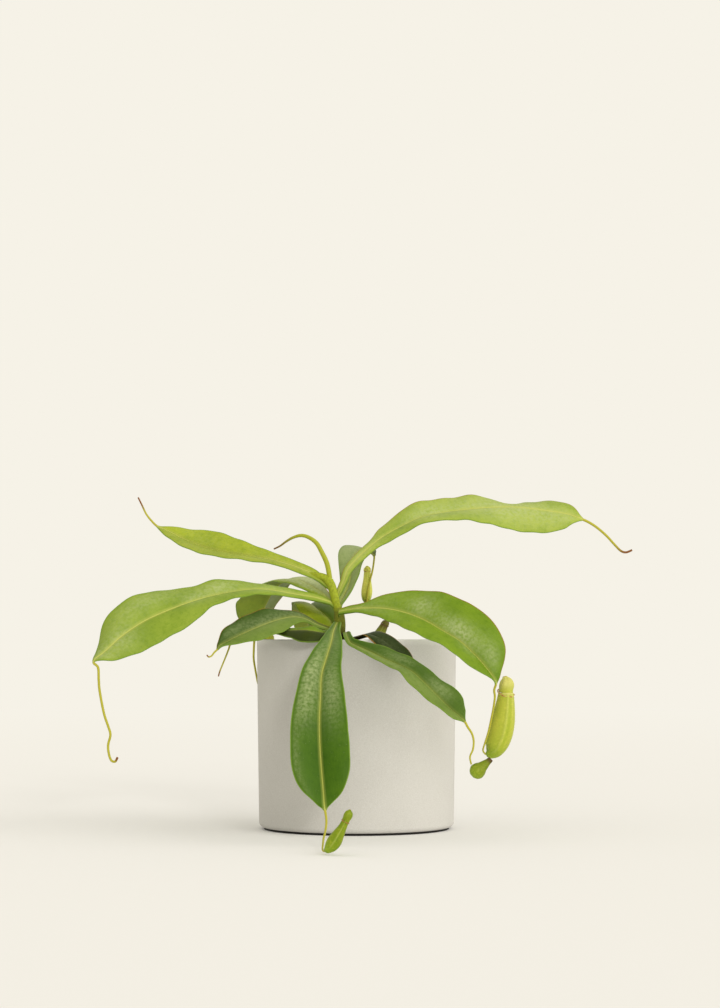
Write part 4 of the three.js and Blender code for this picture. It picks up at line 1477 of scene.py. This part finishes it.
def lip_ring(shell, pitcher, look, front):
    """The rolled, wavy lip of a pitcher's mouth, lower at the front."""
    x, y, z, radius = pitcher.lip
    axis = (Vector(pitcher.lip[:3]) - Vector(pitcher.body[-2][:3])).normalized()
    line = side_of(axis, Vector((0, 1, 0)))
    other = axis.cross(line)
    tube = look.lip_tube / MM * max(radius / 5, 0.6)
    rings = []
    for step in range(LIP_STEPS + 1):
        angle = step / LIP_STEPS * 2 * math.pi
        out = line * math.cos(angle) + other * math.sin(angle)
        fall = pitcher.slant * radius * out.dot(front) + 0.05 * radius * math.sin(5 * angle)
        middle = Vector((x, y, z)) + out * (radius * (1 + 0.03 * math.sin(7 * angle))) - axis * fall
        ring = []
        for cosine, sine in around(LIP_SIDES):
            point = middle + out * (tube * cosine) + axis * (tube * sine)
            ring.append(shell.add(point, rise=0.94, lip=1.0))
        rings.append(ring)
    shell.skin(rings, closed=False)


def add_hair(shell, pitcher, look, scatter):
    """One fine hair, standing out from the body."""
    place = scatter.uniform(0.35, 1) * (len(pitcher.body) - 1)
    x, y, z, radius = row_at(pitcher.body, place)
    turn = math.radians(scatter.gauss(-8, 38))
    out = Vector((math.cos(turn), math.sin(turn), 0))
    root = Vector((x, y, z)) + out * (radius - 0.1)
    tip = root + out * (look.hair / MM * scatter.uniform(0.5, 1)) + UP * scatter.uniform(-0.1, 0.6)
    side = out.cross(UP).normalized() * HAIR_HALF
    rise = UP * HAIR_HALF
    corners = [shell.add(root + offset, hair=1.0) for offset in (side, rise, -side)]
    point = shell.add(tip, hair=1.0)
    shell.faces += [(corners[0], corners[1], point), (corners[1], corners[2], point)]
    shell.faces += [(corners[2], corners[0], point), (corners[2], corners[1], corners[0])]


# ---------------------------------------------------------------- pot and soil


def arc(centre, radius, start, stop, steps):
    """Points of an arc in the plane of radius and height, angles in degrees."""
    angles = [math.radians(start + (stop - start) * step / steps) for step in range(steps + 1)]
    return [(centre[0] + radius * math.cos(a), centre[1] + radius * math.sin(a)) for a in angles]


def pot_piece(pot):
    """The pot, turned from one outline of radius and height."""
    height, rim, low = pot.height / MM, pot.rim_radius / MM, pot.low_radius / MM
    wall, floor, edge = pot.wall / MM, pot.floor / MM, pot.edge_round / MM
    foot, inset, lip = pot.foot_height / MM, pot.foot_inset / MM, pot.lip_round / MM
    outline = [(0.01, 0), (low - inset, 0), (low - inset, foot)]
    outline += arc((low - edge, foot + edge), edge, -90, 0, 10)
    rise = height - lip - foot - edge
    outline += [(low + (rim - low) * t, foot + edge + rise * t) for t in (0.3, 0.6, 0.97)]
    outline += arc((rim - lip, height - lip), lip, 0, 90, 5)
    outline += arc((rim - wall + lip, height - lip), lip, 90, 180, 5)
    outline += [(low - wall, floor + 2), (low - wall - 2, floor), (0.01, floor)]
    shell = Shell("lip", "foot")
    rings = []
    for radius, level in outline:
        # lip marks the top of the rim for its painted highlight, foot the underside for its painted
        # shade.
        marks = {"lip": smooth(height - 1.2, height - 0.3, level), "foot": float(level < foot + 0.2)}
        points = [Vector((radius * x, radius * y, level)) for x, y in around(POT_SIDES)]
        rings.append([shell.add(point, **marks) for point in points])
    shell.skin(rings)
    return shell.build("pot_body", sharp=34)


def soil_piece(soil, pot):
    """The potting mix: a lumpy top over the soil's solid shape, with bark chips on it."""
    top, mound, gap = soil.top / MM, soil.mound / MM, soil.gap / MM
    floor = pot.floor / MM + gap
    wall = pot.low_radius / MM - pot.wall / MM - gap
    edge = wall + (pot.rim_radius - pot.low_radius) / MM * (top / (pot.height / MM))
    shell = Shell("chip")
    rings = []
    outline = [(0.01, floor), (wall - 2, floor), (wall, floor + 2), (edge, top - 1)]
    outline += [(edge * (1 - step / SOIL_RINGS), None) for step in range(SOIL_RINGS)]
    outline += [(0.01, None)]
    for radius, level in outline:
        ring = []
        for cosine, sine in around(SOIL_SIDES):
            x, y = radius * cosine, radius * sine
            z = soil_height(x, y, edge, top, mound) if level is None else level
            ring.append(shell.add(Vector((x, y, z))))
        rings.append(ring)
    shell.skin(rings)
    scatter = random.Random(5)
    for _ in range(soil.chips):
        angle = scatter.uniform(0, 2 * math.pi)
        radius = (edge - 4) * scatter.uniform(0, 1) ** 0.5
        x, y = radius * math.cos(angle), radius * math.sin(angle)
        bark_chip(shell, Vector((x, y, soil_height(x, y, edge, top, mound))), scatter)
    return shell.build("soil_top", sharp=30)


def soil_height(x, y, edge, top, mound):
    """Height of the lumpy soil, which rises a little towards the middle."""
    radius = min(math.hypot(x, y) / edge, 1)
    rise = mound * math.cos(radius * math.pi / 2)
    lumps = noise.noise(Vector((x, y, 3)) * 0.16) * 0.9 + noise.noise(Vector((x, y, 8)) * 0.6) * 0.5
    return top + rise + lumps * (1 - 0.6 * radius)


def bark_chip(shell, centre, scatter):
    """A small broken flake of bark."""
    long = scatter.uniform(1.6, 5.5)
    wide = scatter.uniform(1.2, 2.8)
    thin = scatter.uniform(0.4, 1.0)
    turn = Euler([scatter.uniform(-0.5, 0.5), scatter.uniform(-0.5, 0.5), scatter.uniform(0, 6.28)])
    corners = []
    square = ((-1, -1), (1, -1), (1, 1), (-1, 1))
    for x, y, z in [(x, y, z) for z in (-1, 1) for x, y in square]:
        jitter = [scatter.uniform(0.65, 1.15) for _ in range(3)]
        corner = Vector((x * long / 2 * jitter[0], y * wide / 2 * jitter[1], z * thin / 2 * jitter[2]))
        corner.rotate(turn)
        corners.append(shell.add(centre + corner + UP * (thin * 0.4), chip=1.0))
    for face in ((3, 2, 1, 0), (4, 5, 6, 7), (0, 1, 5, 4), (1, 2, 6, 5), (2, 3, 7, 6), (3, 0, 4, 7)):
        shell.faces.append(tuple(corners[place] for place in face))


# ---------------------------------------------------------------- operators


class PLANT_OT_pot(bpy.types.Operator):
    """Build the plain round pot"""

    bl_idname = "plant.pot"
    bl_label = "Pot"

    def execute(self, context):
        pot = context.scene.plant_pot
        settle(pot_piece(pot), "pot", pot_finish(pot))
        return {"FINISHED"}


class PLANT_OT_soil(bpy.types.Operator):
    """Fill the pot with potting mix and bark chips"""

    bl_idname = "plant.soil"
    bl_label = "Soil"

    def execute(self, context):
        soil = context.scene.plant_soil
        settle(soil_piece(soil, context.scene.plant_pot), "soil", soil_finish(soil))
        return {"FINISHED"}


class PLANT_OT_stem(bpy.types.Operator):
    """Build the stem with its bracts, and the rolled young leaf on top"""

    bl_idname = "plant.stem"
    bl_label = "Stem"

    def execute(self, context):
        stem = context.scene.plant_stem
        settle(stem_piece(), "stem", stem_finish(stem))
        settle(spear_piece(), "leaf_spear", spear_finish(stem))
        return {"FINISHED"}


class PLANT_OT_leaves(bpy.types.Operator):
    """Build every leaf with its stalk and tendril"""

    bl_idname = "plant.leaves"
    bl_label = "Leaves"

    def execute(self, context):
        look = context.scene.plant_leaf
        for name, leaf in LEAVES.items():
            settle(leaf_piece(name, leaf, look), name, leaf_finish(name, leaf, look))
        return {"FINISHED"}


class PLANT_OT_pitchers(bpy.types.Operator):
    """Build every pitcher with its lip, lid and hairs"""

    bl_idname = "plant.pitchers"
    bl_label = "Pitchers"

    def execute(self, context):
        look = context.scene.plant_pitcher
        for name, pitcher in PITCHERS.items():
            finish = pitcher_finish(name, pitcher, look)
            settle(pitcher_piece(name, pitcher, look), name, finish)
        return {"FINISHED"}


class PLANT_OT_stage(bpy.types.Operator):
    """Set the pale floor, the soft light and the camera"""

    bl_idname = "plant.stage"
    bl_label = "Stage"

    def execute(self, context):
        stage = context.scene.plant_stage
        add_floor(stage)
        add_light(context.scene, stage)
        add_camera(context.scene, stage)
        context.scene.view_settings.view_transform = "Standard"
        return {"FINISHED"}


def add_floor(stage):
    """A wide pale floor that melts into the light of the room, so that no horizon shows."""
    bpy.ops.mesh.primitive_circle_add(vertices=FLOOR_SIDES, radius=FLOOR_RADIUS, fill_type="NGON")
    floor = bpy.context.object
    floor.name = "stage_floor"
    finish = Finish("floor_paper")
    finish.tree.nodes.remove(finish.shader)
    matt = finish.add("ShaderNodeBsdfDiffuse", {"Color": rgba(stage.ground)})
    glow = finish.add("ShaderNodeEmission", {"Color": rgba(stage.backdrop)})
    away = finish.add("ShaderNodeVectorMath", {0: finish.place()}, operation="LENGTH")
    fade = finish.step(away.outputs["Value"], GLOW_START, GLOW_FULL, GLOW_LEAST, 1.0)
    sockets = {0: fade, 1: matt.outputs[0], 2: glow.outputs[0]}
    blend = finish.add("ShaderNodeMixShader", sockets)
    finish.feed(finish.tree.nodes["Material Output"].inputs["Surface"], blend.outputs[0])
    floor.data.materials.append(finish.material)


def add_light(scene, stage):
    """Even light from the whole room, a soft key from the right and a low light from the front."""
    world = bpy.data.worlds.new("pale_room")
    world.use_nodes = True
    background = world.node_tree.nodes["Background"]
    background.inputs["Color"].default_value = rgba(stage.backdrop)
    background.inputs["Strength"].default_value = stage.room
    scene.world = world
    shading = bpy.data.collections.new("shading_pieces")
    for piece in scene.collection.objects:
        if piece.type == "MESH" and not piece.name.startswith(OPEN_PIECES):
            shading.objects.link(piece)
    key = add_sun(scene, "stage_key", stage.key, stage.softness, KEY_TOWARDS)
    front = add_sun(scene, "stage_front", stage.fill, stage.fill_softness, FRONT_TOWARDS)
    for lamp in (key, front):
        lamp.light_linking.blocker_collection = shading


def add_sun(scene, name, strength, softness, towards):
    """A soft light that comes from one direction all over the stage."""
    light = bpy.data.lights.new(name, "SUN")
    light.energy = strength
    light.angle = softness
    light.color = DAYLIGHT
    lamp = bpy.data.objects.new(name, light)
    lamp.rotation_euler = towards.to_track_quat("Z", "Y").to_euler()
    scene.collection.objects.link(lamp)
    return lamp


def add_camera(scene, stage):
    """The camera in front of the plant, level with the lower leaves and tipped up a little."""
    camera = bpy.data.cameras.new("camera")
    camera.sensor_fit = "VERTICAL"
    camera.sensor_height = SENSOR_HEIGHT
    camera.lens = stage.lens
    camera.shift_y = stage.shift
    camera.clip_end = 200
    holder = bpy.data.objects.new("stage_camera", camera)
    holder.location = (stage.camera_side, -stage.camera_distance, stage.camera_height)
    holder.rotation_euler = (math.pi / 2 + stage.tilt, 0, 0)
    scene.collection.objects.link(holder)
    scene.camera = holder


STEPS = (
    PLANT_OT_pot,
    PLANT_OT_soil,
    PLANT_OT_stem,
    PLANT_OT_leaves,
    PLANT_OT_pitchers,
    PLANT_OT_stage,
)


class PLANT_PT_panel(bpy.types.Panel):
    """Lists the settings of the plant and the steps that build it"""

    bl_idname = "PLANT_PT_panel"
    bl_label = "Potted Pitcher Plant"
    bl_space_type = "VIEW_3D"
    bl_region_type = "UI"
    bl_category = "Plant"

    def draw(self, context):
        for step in STEPS:
            self.layout.operator(step.bl_idname)
        for title, group in GROUPS.items():
            box = self.layout.box()
            box.label(text=group.__doc__)
            settings = getattr(context.scene, title)
            for field in group.__annotations__:
                box.prop(settings, field)


def register():
    for title, group in GROUPS.items():
        bpy.utils.register_class(group)
        setattr(bpy.types.Scene, title, bpy.props.PointerProperty(type=group))
    for step in STEPS:
        bpy.utils.register_class(step)
    bpy.utils.register_class(PLANT_PT_panel)


def unregister():
    bpy.utils.unregister_class(PLANT_PT_panel)
    for step in reversed(STEPS):
        bpy.utils.unregister_class(step)
    for title, group in reversed(GROUPS.items()):
        delattr(bpy.types.Scene, title)
        bpy.utils.unregister_class(group)


def main():
    register()
    bpy.ops.plant.pot()
    bpy.ops.plant.soil()
    bpy.ops.plant.stem()
    bpy.ops.plant.leaves()
    bpy.ops.plant.pitchers()
    bpy.ops.plant.stage()


if __name__ == "__main__":
    main()
